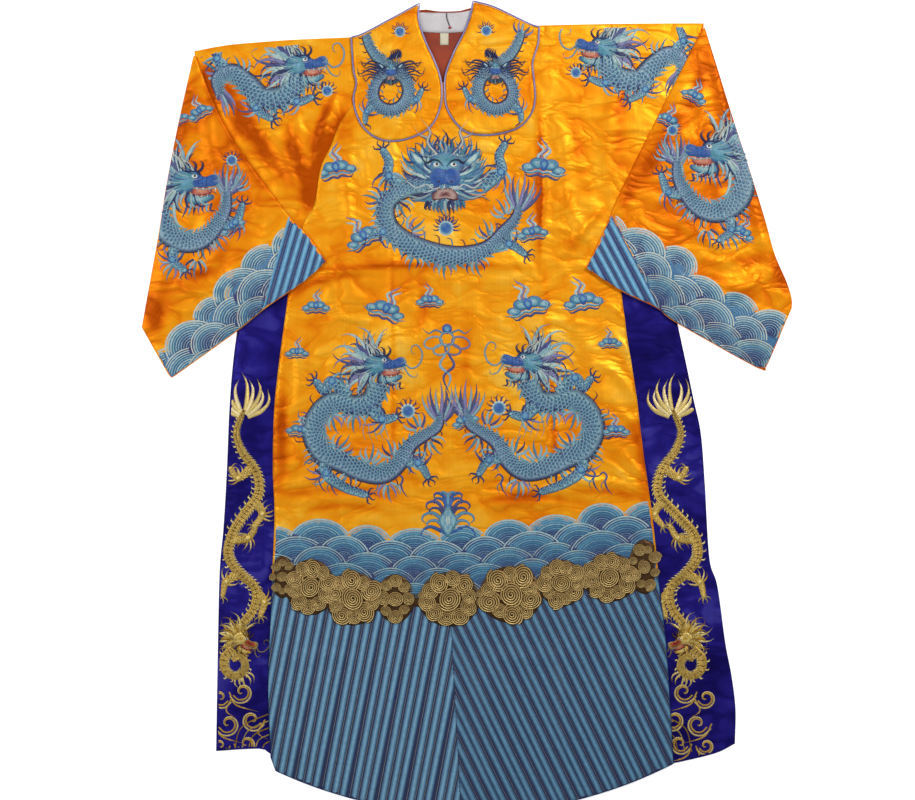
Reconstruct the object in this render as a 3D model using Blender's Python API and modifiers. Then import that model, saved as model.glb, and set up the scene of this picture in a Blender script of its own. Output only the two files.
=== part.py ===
"""A Chinese opera dragon robe laid flat on its back, front up, with both sleeves swung down over the body.

X runs across the robe, Y up towards the collar and Z up from the surface that the robe lies on. The origin is at
the middle of the robe's length and width, on that surface. Left and right are the viewer's. All sizes are in metres.
"""

import math

import bmesh
import bpy
from mathutils import Vector

# Walls and gaps
BACK_WALL = 0.0016
UNDER_WALL = 0.0016
FRONT_WALL = 0.0018
SLEEVE_WALL = 0.0016
COLLAR_WALL = 0.0018
LINING_WALL = 0.0012
SEAM_GAP = 0.0003

# Heights of the layers above the surface, from the bottom up
FRONT_LOW = BACK_WALL + SEAM_GAP
FRONT_HIGH = FRONT_LOW + UNDER_WALL + SEAM_GAP
ON_FRONT_LOW = FRONT_LOW + FRONT_WALL + SEAM_GAP
ON_FRONT_HIGH = FRONT_HIGH + FRONT_WALL + SEAM_GAP

# A cloth that lies over another's edge keeps its height for SPREAD_START beyond it, and is down at SPREAD_END
SPREAD_START = 0.030
SPREAD_END = 0.078
CALM_START = 0.036
CALM_END = 0.086

# Sleeves are flattened tubes, folded along both edges
SLEEVE_FOLD = 0.0065
SLEEVE_CALM = 0.035

SHOULDER_CURL = 0.0025
SIDE_SEAM_INSET = 0.020
BINDING_RADIUS = 0.0015
CURVE_STEP = 0.028
MERGE = 0.0012

# Cells of the cloth meshes
FRONT_CELL = 0.044
SLEEVE_CELL = 0.028
PANEL_CELL = 0.034
COLLAR_CELL = 0.016
CLOUD_CELL = 0.019

# Body: the shoulder fold, the hidden wing edges under the sleeves, the side edges and the hem
SHOULDER = {
    "left": [(-0.198, 0.648), (-0.296, 0.644), (-0.355, 0.640), (-0.423, 0.634), (-0.481, 0.6235)],
    "right": [(0.112, 0.668), (0.242, 0.671), (0.367, 0.672), (0.416, 0.672)],
}
WING = {
    "left": [(-0.481, 0.6235), (-0.462, 0.505), (-0.409, 0.338), (-0.315, 0.205)],
    "right": [(0.416, 0.672), (0.400, 0.549), (0.347, 0.382), (0.270, 0.208)],
}
SIDE = {
    "left": [
        (-0.315, 0.205), (-0.333, 0.070), (-0.341, -0.011), (-0.343, -0.112), (-0.340, -0.193),
        (-0.345, -0.315), (-0.352, -0.488), (-0.347, -0.617),
    ],
    "right": [
        (0.270, 0.208), (0.282, 0.115), (0.296, 0.029), (0.310, -0.083), (0.325, -0.190),
        (0.339, -0.322), (0.350, -0.415), (0.356, -0.505), (0.363, -0.628),
    ],
}
HEM_CORNER = (-0.338, -0.641)
HEM_LOWEST = (0.0, -0.716)
BACK_HEM_RISE = 0.006

# Neck: the back neck edge, and the front's neckline, which hides under both collar lobes
BACK_NECK = [
    (0.100, 0.668), (0.045, 0.694), (0.012, 0.704), (-0.013, 0.698),
    (-0.050, 0.697), (-0.086, 0.699), (-0.135, 0.672), (-0.185, 0.648),
]
FRONT_NECK_TOP = [(0.018, 0.700), (0.045, 0.690), (0.112, 0.668)]
FRONT_NECKLINE = [
    (-0.185, 0.556), (-0.100, 0.560), (-0.060, 0.566), (-0.043, 0.572),
    (-0.030, 0.588), (-0.016, 0.622), (0.003, 0.660), (0.018, 0.700),
]
LAPEL = [
    (-0.315, 0.205), (-0.305, 0.262), (-0.290, 0.322), (-0.270, 0.356),
    (-0.259, 0.419), (-0.240, 0.461), (-0.223, 0.502), (-0.185, 0.556),
]
UNDER_NECK = [(-0.198, 0.648), (-0.135, 0.674), (-0.098, 0.694)]
UNDER_NECKLINE = [(-0.098, 0.694), (-0.096, 0.681), (-0.084, 0.643), (-0.070, 0.612), (-0.060, 0.583)]
UNDER_HIDDEN_EDGE = [(-0.060, 0.583), (-0.090, 0.500), (-0.150, 0.420), (-0.185, 0.330), (-0.240, 0.262)]
UNDER_WING = [(-0.357, 0.262), (-0.409, 0.338), (-0.462, 0.505), (-0.481, 0.6235)]

# Navy side panels, sewn to the back's side edges
PANEL_OUTER = {
    "left": [
        (-0.396, 0.198), (-0.406, 0.134), (-0.414, 0.070), (-0.420, -0.011), (-0.424, -0.111),
        (-0.430, -0.213), (-0.437, -0.297), (-0.441, -0.488), (-0.443, -0.606),
    ],
    "right": [
        (0.358, 0.200), (0.383, 0.086), (0.398, 0.014), (0.411, -0.047), (0.418, -0.136), (0.426, -0.266),
        (0.440, -0.315), (0.454, -0.415), (0.465, -0.473), (0.472, -0.531), (0.471, -0.593),
    ],
}
PANEL_BOTTOM = {
    "left": [(-0.443, -0.606), (-0.367, -0.602), (-0.349, -0.610)],
    "right": [(0.471, -0.593), (0.436, -0.610), (0.365, -0.627)],
}

# Sleeves: the outer fold and its short straight end, the inner fold, and the cuff edge between their lower ends
SLEEVE_OUTER = {
    "left": [(-0.481, 0.6235), (-0.511, 0.489), (-0.531, 0.387), (-0.546, 0.294), (-0.572, 0.150), (-0.572, 0.137)],
    "right": [
        (0.416, 0.672), (0.455, 0.546), (0.490, 0.439), (0.523, 0.333), (0.541, 0.269),
        (0.562, 0.220), (0.571, 0.190), (0.571, 0.174),
    ],
}
SLEEVE_END = {
    "left": [(-0.572, 0.137), (-0.527, 0.057), (-0.521, 0.051)],
    "right": [(0.571, 0.174), (0.530, 0.078), (0.523, 0.068)],
}
SLEEVE_INNER = {
    "left": [
        (-0.481, 0.6235), (-0.451, 0.547), (-0.415, 0.475), (-0.358, 0.394),
        (-0.314, 0.336), (-0.280, 0.301), (-0.248, 0.255),
    ],
    "right": [
        (0.416, 0.672), (0.378, 0.597), (0.335, 0.512), (0.267, 0.375),
        (0.250, 0.333), (0.224, 0.277), (0.207, 0.244),
    ],
}
CUFF = {
    "left": [(-0.248, 0.255), (-0.2855, 0.221), (-0.352, 0.176), (-0.409, 0.131), (-0.521, 0.051)],
    "right": [(0.207, 0.244), (0.270, 0.204), (0.335, 0.173), (0.366, 0.149), (0.510, 0.069), (0.523, 0.068)],
}

# Cloud collar: each lobe's neck edge, and the rest of its outline round the lower end
LOBE_TOP = {
    "left": [(-0.203, 0.649), (-0.182, 0.656), (-0.135, 0.681), (-0.087, 0.707)],
    "right": [(0.124, 0.667), (0.105, 0.674), (0.0465, 0.702), (0.011, 0.712)],
}
LOBE_ROUND = {
    "left": [
        (-0.087, 0.707), (-0.088, 0.681), (-0.076, 0.643), (-0.062, 0.613), (-0.051, 0.584), (-0.047, 0.558),
        (-0.049, 0.532), (-0.060, 0.503), (-0.0785, 0.485), (-0.112, 0.472), (-0.142, 0.470), (-0.168, 0.480),
        (-0.189, 0.504), (-0.199, 0.540), (-0.194, 0.570), (-0.199, 0.594), (-0.203, 0.649),
    ],
    "right": [
        (0.011, 0.712), (0.007, 0.690), (-0.004, 0.660), (-0.023, 0.622), (-0.037, 0.584), (-0.038, 0.551),
        (-0.035, 0.528), (-0.022, 0.504), (-0.001, 0.485), (0.030, 0.480), (0.063, 0.484), (0.091, 0.4945),
        (0.110, 0.516), (0.117, 0.542), (0.115, 0.575), (0.1125, 0.6055), (0.122, 0.639), (0.124, 0.667),
    ],
}
# The padded coil on each lobe: centre, mid radius, half width and height
LOBE_COIL = {"left": (-0.135, 0.554, 0.024, 0.012, 0.0016), "right": (0.049, 0.556, 0.024, 0.012, 0.0016)}

# Neck lining, the plain tab below it, and the tie cord with its knot
LINING_TOP = [(-0.094, 0.695), (-0.050, 0.694), (-0.013, 0.695), (0.0125, 0.701)]
LINING_FOOT = [(0.0015, 0.661), (-0.040, 0.659), (-0.088, 0.661)]
TAB_SIZE = (0.015, 0.021, 0.0010)
TAB_CENTRE = (-0.041, 0.648)
CORD_RADIUS = 0.0008
CORD_ROUTE = [(-0.037, 0.693), (-0.0365, 0.685), (-0.034, 0.677), (-0.032, 0.6712)]
KNOT_CENTRE = (-0.031, 0.6680)
KNOT_RADIUS = 0.0024

# Couched gold clouds across the front, raised off it: centre x, centre y, half width, half height
CLOUDS = [
    (-0.326, -0.299, 0.022, 0.037), (-0.276, -0.317, 0.043, 0.049), (-0.202, -0.337, 0.048, 0.047),
    (-0.127, -0.337, 0.033, 0.043), (-0.032, -0.338, 0.054, 0.048), (0.076, -0.330, 0.055, 0.050),
    (0.165, -0.310, 0.041, 0.041), (0.250, -0.300, 0.047, 0.043), (0.311, -0.281, 0.028, 0.048),
]
CLOUD_ENDS = (-0.339, 0.329)
CLOUD_BASE_HALF = 0.014
CLOUD_WALL = 0.0014
CLOUD_DOME = 0.0022
CLOUD_STEP = 0.009

# Folds: start x, start y, end x, end y, height and whole width
FRONT_FOLDS = [
    (-0.131, 0.400, -0.128, -0.190, 0.0028, 0.026),
    (0.130, 0.210, 0.160, -0.180, 0.0028, 0.026),
    (0.118, 0.450, 0.128, 0.268, 0.0045, 0.026),
    (-0.200, 0.262, 0.118, 0.252, 0.0034, 0.028),
    (-0.240, 0.080, -0.030, 0.130, 0.0050, 0.070),
    (0.190, 0.160, 0.262, -0.060, 0.0055, 0.050),
    (-0.285, -0.060, -0.060, -0.110, 0.0045, 0.044),
    (0.020, -0.080, 0.230, -0.140, 0.0045, 0.044),
    (-0.262, -0.420, -0.275, -0.660, 0.0065, 0.070),
    (-0.128, -0.420, -0.126, -0.690, 0.0035, 0.030),
    (0.030, -0.430, 0.034, -0.700, 0.0060, 0.076),
    (0.165, -0.420, 0.175, -0.680, 0.0035, 0.030),
    (0.262, -0.420, 0.290, -0.640, 0.0065, 0.070),
]
UNDER_FOLDS = [(-0.300, 0.600, -0.330, 0.480, 0.0032, 0.036)]
PANEL_FOLDS = {
    "left": [(-0.393, 0.060, -0.405, -0.300, 0.0036, 0.030), (-0.402, -0.330, -0.412, -0.560, 0.0040, 0.034)],
    "right": [(0.372, 0.020, 0.392, -0.260, 0.0036, 0.030), (0.408, -0.310, 0.438, -0.560, 0.0040, 0.034)],
}
SLEEVE_FOLDS = {
    "left": [
        (-0.492, 0.520, -0.524, 0.300, 0.0055, 0.036),
        (-0.440, 0.480, -0.460, 0.250, 0.0050, 0.040),
        (-0.530, 0.230, -0.420, 0.190, 0.0045, 0.044),
        (-0.345, 0.330, -0.372, 0.205, 0.0045, 0.036),
    ],
    "right": [
        (0.436, 0.560, 0.500, 0.340, 0.0055, 0.036),
        (0.372, 0.520, 0.420, 0.280, 0.0050, 0.040),
        (0.530, 0.230, 0.410, 0.200, 0.0045, 0.044),
        (0.300, 0.330, 0.345, 0.215, 0.0045, 0.036),
    ],
}

# Colours as linear RGB, with roughness and metallic value
COLOURS = {
    "orange_satin": ((0.83, 0.27, 0.012), 0.42, 0.0),
    "red_orange_lining": ((0.55, 0.09, 0.02), 0.60, 0.0),
    "navy_satin": ((0.012, 0.010, 0.12), 0.45, 0.0),
    "lilac_binding": ((0.20, 0.19, 0.36), 0.55, 0.0),
    "white_lining": ((0.80, 0.80, 0.78), 0.70, 0.0),
    "cream_tab": ((0.75, 0.70, 0.55), 0.75, 0.0),
    "dark_cord": ((0.03, 0.03, 0.04), 0.60, 0.0),
    "red_knot": ((0.45, 0.02, 0.02), 0.55, 0.0),
    "gold_thread": ((0.42, 0.24, 0.05), 0.40, 0.6),
}


def clear_scene():
    for thing in list(bpy.data.objects):
        bpy.data.objects.remove(thing, do_unlink=True)


def cloth_material(piece_name, finish):
    colour, roughness, metallic = COLOURS[finish]
    material = bpy.data.materials.new(f"{piece_name}_{finish}")
    material.use_nodes = True
    shader = material.node_tree.nodes["Principled BSDF"]
    shader.inputs["Base Color"].default_value = (*colour, 1.0)
    shader.inputs["Roughness"].default_value = roughness
    shader.inputs["Metallic"].default_value = metallic
    return material


# Outlines

def smooth(points, step=CURVE_STEP):
    """Points about one step apart on a smooth curve through the given ones."""
    if len(points) == 2:
        return list(points)
    knots = [Vector(p) for p in points]
    before = knots[0] * 2 - knots[1]
    after = knots[-1] * 2 - knots[-2]
    knots = [before, *knots, after]
    run = []
    for a, b, c, d in zip(knots, knots[1:], knots[2:], knots[3:]):
        parts = max(1, round((c - b).length / step))
        for k in range(parts):
            t = k / parts
            place = (
                b * 2 + (c - a) * t
                + (a * 2 - b * 5 + c * 4 - d) * t**2
                + (b * 3 - a - c * 3 + d) * t**3
            ) / 2
            run.append((place.x, place.y))
    run.append(tuple(points[-1]))
    return run


def arc_through(start, middle, end, parts):
    """Points on the circle through three places."""
    (ax, ay), (bx, by), (cx, cy) = start, middle, end
    d = 2 * (ax * (by - cy) + bx * (cy - ay) + cx * (ay - by))
    a2, b2, c2 = ax * ax + ay * ay, bx * bx + by * by, cx * cx + cy * cy
    ux = (a2 * (by - cy) + b2 * (cy - ay) + c2 * (ay - by)) / d
    uy = (a2 * (cx - bx) + b2 * (ax - cx) + c2 * (bx - ax)) / d
    radius = math.hypot(ax - ux, ay - uy)
    first = math.atan2(ay - uy, ax - ux)
    last = math.atan2(cy - uy, cx - ux)
    angles = [first + (last - first) * k / parts for k in range(parts + 1)]
    return [(ux + radius * math.cos(a), uy + radius * math.sin(a)) for a in angles]


def join(*runs):
    """One closed outline from runs laid end to end, without repeated points."""
    outline = []
    for run in runs:
        for point in run:
            if not outline or math.dist(point, outline[-1]) > MERGE:
                outline.append(tuple(point))
    if math.dist(outline[0], outline[-1]) <= MERGE:
        outline.pop()
    return outline


def shift(run, across, along=0.0):
    return [(x + across, y + along) for x, y in run]


def signed_area(outline):
    pairs = zip(outline, outline[1:] + outline[:1])
    return sum(ax * by - bx * ay for (ax, ay), (bx, by) in pairs) / 2


def offset_run(run, amount, inside_left, closed=False):
    """The run moved sideways by an amount, with its corners kept sharp."""
    side = 1 if inside_left else -1
    count = len(run)
    moved = []
    for k, (x, y) in enumerate(run):
        normals = []
        for first, second in ((k - 1, k), (k, k + 1)):
            if not closed and not (0 <= first and second < count):
                continue
            a, b = Vector(run[first % count]), Vector(run[second % count])
            along = (b - a).normalized()
            normals.append(Vector((-along.y, along.x)) * side)
        normal = sum(normals, Vector((0, 0))).normalized()
        stretch = 1 / max(0.3, normal.dot(normals[0]))
        moved.append((x + normal.x * amount * stretch, y + normal.y * amount * stretch))
    return moved


def distance_to_run(x, y, run):
    """How far a place is from the nearest stretch of a run."""
    least = math.inf
    for (ax, ay), (bx, by) in zip(run, run[1:]):
        dx, dy = bx - ax, by - ay
        t = ((x - ax) * dx + (y - ay) * dy) / max(dx * dx + dy * dy, 1e-12)
        t = min(1.0, max(0.0, t))
        least = min(least, math.hypot(x - ax - t * dx, y - ay - t * dy))
    return least


def is_inside(x, y, outline):
    inside = False
    for (ax, ay), (bx, by) in zip(outline, outline[1:] + outline[:1]):
        if (ay > y) != (by > y) and x < (bx - ax) * (y - ay) / (by - ay) + ax:
            inside = not inside
    return inside


def outside_by(x, y, outline):
    """How far a place is outside an outline, and 0 within it."""
    if is_inside(x, y, outline):
        return 0.0
    return distance_to_run(x, y, outline + outline[:1])


# Heights

def ease(t):
    t = min(1.0, max(0.0, t))
    return t * t * (3 - 2 * t)


def spread(x, y, outline, start=SPREAD_START, end=SPREAD_END):
    """1 on and near a shape, falling softly to 0 further out."""
    return 1 - ease((outside_by(x, y, outline) - start) / (end - start))


def fold_height(x, y, folds):
    """The highest of the soft ridges at a place."""
    height = 0.0
    for x0, y0, x1, y1, rise, width in folds:
        length = math.hypot(x1 - x0, y1 - y0)
        along = ((x - x0) * (x1 - x0) + (y - y0) * (y1 - y0)) / length**2
        across = ((x - x0) * (y1 - y0) - (y - y0) * (x1 - x0)) / length
        if abs(across) < width / 2:
            ends = ease(along / 0.2) * ease((1 - along) / 0.2)
            height = max(height, rise * ends * math.cos(math.pi * across / width) ** 2)
    return height


def calm(x, y, outlines):
    """0 under and near other pieces, so that no fold lifts into them, and 1 away from them."""
    factor = 1.0
    for outline in outlines:
        factor *= 1 - spread(x, y, outline, CALM_START, CALM_END)
    return factor


# Cloth meshes

def cut_line(bm, faces, place, normal):
    edges = {edge for face in faces for edge in face.edges}
    verts = {vert for face in faces for vert in face.verts}
    bmesh.ops.bisect_plane(
        bm, geom=[*verts, *edges, *faces], dist=1e-5, plane_co=place, plane_no=normal
    )


def flat_sheet(outline, cell, folds=()):
    """A flat mesh of an outline, cut in square cells and along each fold."""
    bm = bmesh.new()
    bm.faces.new([bm.verts.new((x, y, 0.0)) for x, y in outline])
    for axis in (0, 1):
        values = [point[axis] for point in outline]
        normal = Vector((0, 0, 0))
        normal[axis] = 1
        for k in range(math.ceil(min(values) / cell), math.floor(max(values) / cell) + 1):
            cut_line(bm, bm.faces[:], normal * k * cell, normal)
    for x0, y0, x1, y1, _, width in folds:
        start = Vector((x0, y0, 0))
        run = Vector((x1 - x0, y1 - y0, 0))
        normal = Vector((-run.y, run.x, 0)).normalized()
        for side in (-0.5, 0.0, 0.5):
            near = []
            for face in bm.faces:
                centre = face.calc_center_median() - start
                along = centre.dot(run) / run.length_squared
                if -0.1 < along < 1.1 and abs(centre.dot(normal)) < width / 2 + cell:
                    near.append(face)
            cut_line(bm, near, start + normal * side * width, normal)
    bmesh.ops.remove_doubles(bm, verts=bm.verts[:], dist=MERGE)
    return bm


def face_up(bm):
    """Turns an open sheet's faces upwards."""
    bmesh.ops.recalc_face_normals(bm, faces=bm.faces[:])
    if sum(face.normal.z * face.calc_area() for face in bm.faces) < 0:
        bmesh.ops.reverse_faces(bm, faces=bm.faces[:])


def curl_over(bm, run):
    """Rolls the sheet's edge along a run over and down to the surface, as at the shoulder fold."""
    ring = {}
    edges = []
    for edge in bm.edges:
        if edge.is_boundary and all(distance_to_run(v.co.x, v.co.y, run) < MERGE for v in edge.verts):
            edges.append(edge)
            ring.update({vert: vert.co.copy() for vert in edge.verts})
    for angle in (30, 60, 90):
        made = bmesh.ops.extrude_edge_only(bm, edges=edges)["geom"]
        new_verts = {item for item in made if isinstance(item, bmesh.types.BMVert)}
        edges = [
            item for item in made
            if isinstance(item, bmesh.types.BMEdge) and set(item.verts) <= new_verts
        ]
        turned = math.radians(angle)
        next_ring = {}
        for vert in new_verts:
            old = next(edge.other_vert(vert) for edge in vert.link_edges if edge.other_vert(vert) in ring)
            base = ring[old]
            vert.co = (base.x, base.y + SHOULDER_CURL * math.sin(turned), base.z * math.cos(turned))
            next_ring[vert] = base
        ring = next_ring


def object_from(bm, name, finish, collection):
    mesh = bpy.data.meshes.new(name)
    bm.to_mesh(mesh)
    bm.free()
    mesh.materials.append(cloth_material(name, finish))
    mesh.shade_smooth()
    mesh.set_sharp_from_angle(angle=math.radians(40))
    piece = bpy.data.objects.new(name, mesh)
    collection.objects.link(piece)
    return piece


def give_wall(piece, thickness, outward):
    """A wall on an open sheet, grown along its normals or against them."""
    wall = piece.modifiers.new("wall", "SOLIDIFY")
    wall.thickness = thickness
    wall.offset = 1 if outward else -1


def raise_wall(bm, thickness_at):
    """Closes a flat sheet with a top whose height above it is a function of the place."""
    made = bmesh.ops.extrude_face_region(bm, geom=bm.faces[:], use_keep_orig=True)["geom"]
    for item in made:
        if isinstance(item, bmesh.types.BMVert):
            item.co.z += thickness_at(item.co.x, item.co.y)
    bmesh.ops.recalc_face_normals(bm, faces=bm.faces[:])


def flat_plate(name, outline, low, thickness, finish, collection):
    """A plain flat piece, cut from one outline."""
    curve = bpy.data.curves.new(name, "CURVE")
    curve.dimensions = "2D"
    curve.fill_mode = "BOTH"
    curve.extrude = thickness / 2
    spline = curve.splines.new("POLY")
    spline.points.add(len(outline) - 1)
    for point, (x, y) in zip(spline.points, outline):
        point.co = (x, y, 0.0, 1.0)
    spline.use_cyclic_u = True
    curve.materials.append(cloth_material(name, finish))
    piece = bpy.data.objects.new(name, curve)
    piece.location.z = low + thickness / 2
    collection.objects.link(piece)
    return piece


def tube(name, points, radius, closed, finish, collection):
    curve = bpy.data.curves.new(name, "CURVE")
    curve.dimensions = "3D"
    curve.bevel_depth = radius
    curve.bevel_resolution = 2
    curve.use_fill_caps = True
    spline = curve.splines.new("POLY")
    spline.points.add(len(points) - 1)
    for point, place in zip(spline.points, points):
        point.co = (*place, 1.0)
    spline.use_cyclic_u = closed
    curve.materials.append(cloth_material(name, finish))
    piece = bpy.data.objects.new(name, curve)
    collection.objects.link(piece)
    return piece


# The outlines of the pieces, each worked out from the runs above

def front_outline():
    hem = arc_through(SIDE["right"][-1], HEM_LOWEST, HEM_CORNER, 30)
    return join(
        smooth(FRONT_NECK_TOP), smooth(SHOULDER["right"]), smooth(WING["right"]), smooth(SIDE["right"]), hem,
        smooth(SIDE["left"])[::-1], smooth(LAPEL), smooth(FRONT_NECKLINE),
    )


def under_front_outline():
    return join(
        smooth(UNDER_NECK), smooth(UNDER_NECKLINE), smooth(UNDER_HIDDEN_EDGE),
        smooth(UNDER_WING), smooth(SHOULDER["left"])[::-1],
    )


def back_outline():
    left_edge = shift(smooth(WING["left"]) + smooth(SIDE["left"]), SIDE_SEAM_INSET)
    right_edge = shift(smooth(WING["right"]) + smooth(SIDE["right"]), -SIDE_SEAM_INSET)
    low_left = (HEM_CORNER[0] + SIDE_SEAM_INSET, HEM_CORNER[1] + BACK_HEM_RISE)
    lowest = (HEM_LOWEST[0], HEM_LOWEST[1] + BACK_HEM_RISE)
    hem = arc_through(right_edge[-1], lowest, low_left, 30)
    left_shoulder = shift(SHOULDER["left"][1:-1], 0.0, -0.002)
    right_shoulder = shift(SHOULDER["right"][1:-1], 0.0, -0.002)
    return join(smooth(BACK_NECK), left_shoulder, left_edge[2:], hem[::-1], right_edge[::-1][:-2], right_shoulder[::-1])


def panel_outline(side):
    inward = SIDE_SEAM_INSET - SEAM_GAP
    seam = shift(smooth(SIDE[side]), inward if side == "left" else -inward)
    return join(smooth(PANEL_OUTER[side]), smooth(PANEL_BOTTOM[side]), seam[::-1])


def lobe_outline(side):
    return join(smooth(LOBE_TOP[side], 0.018), smooth(LOBE_ROUND[side], 0.018))


def sleeve_fold_line(side):
    """The folded edges, from the cuff's outer end up to the shoulder and down to its inner end."""
    outer = join(smooth(SLEEVE_OUTER[side]), SLEEVE_END[side])
    return join(outer[::-1], smooth(SLEEVE_INNER[side]))


def sleeve_outline(side):
    return join(sleeve_fold_line(side), smooth(CUFF[side]))


def cloud_outline():
    """The scalloped edge of the cloud band, the farthest cloud's edge at each step across the front."""
    start, end = CLOUD_ENDS
    parts = round((end - start) / CLOUD_STEP)
    upper, lower = [], []
    for k in range(parts + 1):
        x = start + (end - start) * k / parts
        weights = [math.exp(-((x - cx) / 0.05) ** 2) for cx, _, _, _ in CLOUDS]
        middle = sum(w * cloud[1] for w, cloud in zip(weights, CLOUDS)) / sum(weights)
        tops, bottoms = [middle + CLOUD_BASE_HALF], [middle - CLOUD_BASE_HALF]
        for cx, cy, half_width, half_height in CLOUDS:
            reach = 1 - ((x - cx) / half_width) ** 2
            if reach > 0:
                tops.append(cy + half_height * math.sqrt(reach))
                bottoms.append(cy - half_height * math.sqrt(reach))
        upper.append((x, max(tops)))
        lower.append((x, min(bottoms)))
    return join(upper, lower[::-1])


# The pieces

def make_back(collection):
    flat_plate("back", back_outline(), 0.0, BACK_WALL, "red_orange_lining", collection)


def make_side_panel(side, collection):
    front = front_outline()
    sleeve = sleeve_outline(side)
    bm = flat_sheet(panel_outline(side), PANEL_CELL, PANEL_FOLDS[side])
    for vert in bm.verts:
        x, y = vert.co.x, vert.co.y
        near_front = 1 - spread(x, y, front, 0.004, 0.030)
        vert.co.z = fold_height(x, y, PANEL_FOLDS[side]) * near_front * calm(x, y, [sleeve])
    face_up(bm)
    piece = object_from(bm, f"side_panel_{side}", "navy_satin", collection)
    give_wall(piece, BACK_WALL, outward=True)


def make_under_front(collection):
    covers = [front_outline(), sleeve_outline("left"), lobe_outline("left")]
    bm = flat_sheet(under_front_outline(), PANEL_CELL, UNDER_FOLDS)
    for vert in bm.verts:
        x, y = vert.co.x, vert.co.y
        clear = min(outside_by(x, y, cover) for cover in covers)
        vert.co.z = FRONT_LOW + fold_height(x, y, UNDER_FOLDS) * ease((clear - 0.020) / 0.030)
    curl_over(bm, smooth(SHOULDER["left"]))
    face_up(bm)
    piece = object_from(bm, "under_front", "orange_satin", collection)
    give_wall(piece, UNDER_WALL, outward=True)


def make_front(collection):
    raisers = [under_front_outline(), lobe_outline("left"), lobe_outline("right")]
    covers = [sleeve_outline("left"), sleeve_outline("right"), *raisers[1:], cloud_outline()]
    bm = flat_sheet(front_outline(), FRONT_CELL, FRONT_FOLDS)
    for vert in bm.verts:
        x, y = vert.co.x, vert.co.y
        lifted = max(spread(x, y, raiser) for raiser in raisers)
        folds = fold_height(x, y, FRONT_FOLDS) * calm(x, y, covers)
        vert.co.z = FRONT_LOW + (FRONT_HIGH - FRONT_LOW) * lifted + folds
    curl_over(bm, smooth(SHOULDER["right"]))
    face_up(bm)
    piece = object_from(bm, "front", "orange_satin", collection)
    give_wall(piece, FRONT_WALL, outward=True)


def place_key(place):
    return (round(place.x, 5), round(place.y, 5))


def fold_normals(bm, cuff_line):
    """The outward direction at each edge place, and the pairs of places that the cuff's edges join."""
    outward, cuff_pairs = {}, []
    for edge in bm.edges:
        if not edge.is_boundary:
            continue
        if all(distance_to_run(v.co.x, v.co.y, cuff_line) < 1e-4 for v in edge.verts):
            cuff_pairs.append({place_key(v.co) for v in edge.verts})
            continue
        along = edge.verts[1].co - edge.verts[0].co
        normal = Vector((-along.y, along.x, 0)).normalized()
        if normal.dot(edge.link_faces[0].calc_center_median() - edge.verts[0].co) > 0:
            normal.negate()
        for vert in edge.verts:
            key = place_key(vert.co)
            outward[key] = outward.get(key, Vector((0, 0, 0))) + normal
    return outward, cuff_pairs


def add_upper_layer(bm, fold_line, folds):
    """Copies the lower layer upwards, joined to it all round, and returns the new points."""
    made = bmesh.ops.extrude_face_region(bm, geom=bm.faces[:], use_keep_orig=True)["geom"]
    upper = {item for item in made if isinstance(item, bmesh.types.BMVert)}
    for vert in upper:
        x, y = vert.co.x, vert.co.y
        settled = ease(distance_to_run(x, y, fold_line) / SLEEVE_CALM)
        vert.co.z += SLEEVE_FOLD + fold_height(x, y, folds) * settled
    return upper


def open_cuff(bm, cuff_pairs):
    """Removes the faces that close the cuff."""
    closing = [face for face in bm.faces if {place_key(vert.co) for vert in face.verts} in cuff_pairs]
    bmesh.ops.delete(bm, geom=closing, context="FACES_ONLY")
    bmesh.ops.delete(bm, geom=[edge for edge in bm.edges if not edge.link_faces], context="EDGES")


def round_folds(bm, upper, outward, base):
    """Rounds the strip between the layers into half a circle."""
    tops = {place_key(vert.co): vert.co.z for vert in upper}
    uprights = [edge for edge in bm.edges if (edge.verts[0] in upper) != (edge.verts[1] in upper)]
    made = bmesh.ops.subdivide_edges(bm, edges=uprights, cuts=3)["geom_inner"]
    for vert in {item for item in made if isinstance(item, bmesh.types.BMVert)}:
        key = place_key(vert.co)
        if key in outward:
            low, high = base[key], tops[key]
            turned = math.pi * (vert.co.z - low) / (high - low)
            vert.co += outward[key].normalized() * SLEEVE_FOLD / 2 * math.sin(turned)
            vert.co.z = low + (high - low) * (1 - math.cos(turned)) / 2


def make_sleeve(side, collection):
    """A flattened tube: two layers over one outline, with round folds along both edges and an open cuff."""
    fold_line = offset_run(sleeve_fold_line(side), SLEEVE_FOLD / 2, inside_left=side == "right")
    cuff_line = [fold_line[-1], *smooth(CUFF[side])[1:-1], fold_line[0]]
    bm = flat_sheet(join(fold_line, cuff_line), SLEEVE_CELL, SLEEVE_FOLDS[side])

    supports = [
        (front_outline(), ON_FRONT_HIGH if side == "left" else ON_FRONT_LOW),
        (panel_outline(side), BACK_WALL + SEAM_GAP),
    ]
    if side == "left":
        supports.append((under_front_outline(), FRONT_HIGH))
    for vert in bm.verts:
        vert.co.z = max(height * spread(vert.co.x, vert.co.y, outline) for outline, height in supports)

    base = {place_key(vert.co): vert.co.z for vert in bm.verts}
    outward, cuff_pairs = fold_normals(bm, cuff_line)
    upper = add_upper_layer(bm, fold_line, SLEEVE_FOLDS[side])
    open_cuff(bm, cuff_pairs)
    round_folds(bm, upper, outward, base)
    bmesh.ops.recalc_face_normals(bm, faces=bm.faces[:])
    if max(bm.faces, key=lambda face: face.calc_center_median().z).normal.z < 0:
        bmesh.ops.reverse_faces(bm, faces=bm.faces[:])
    piece = object_from(bm, f"sleeve_{side}", "orange_satin", collection)
    give_wall(piece, SLEEVE_WALL, outward=False)


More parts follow.
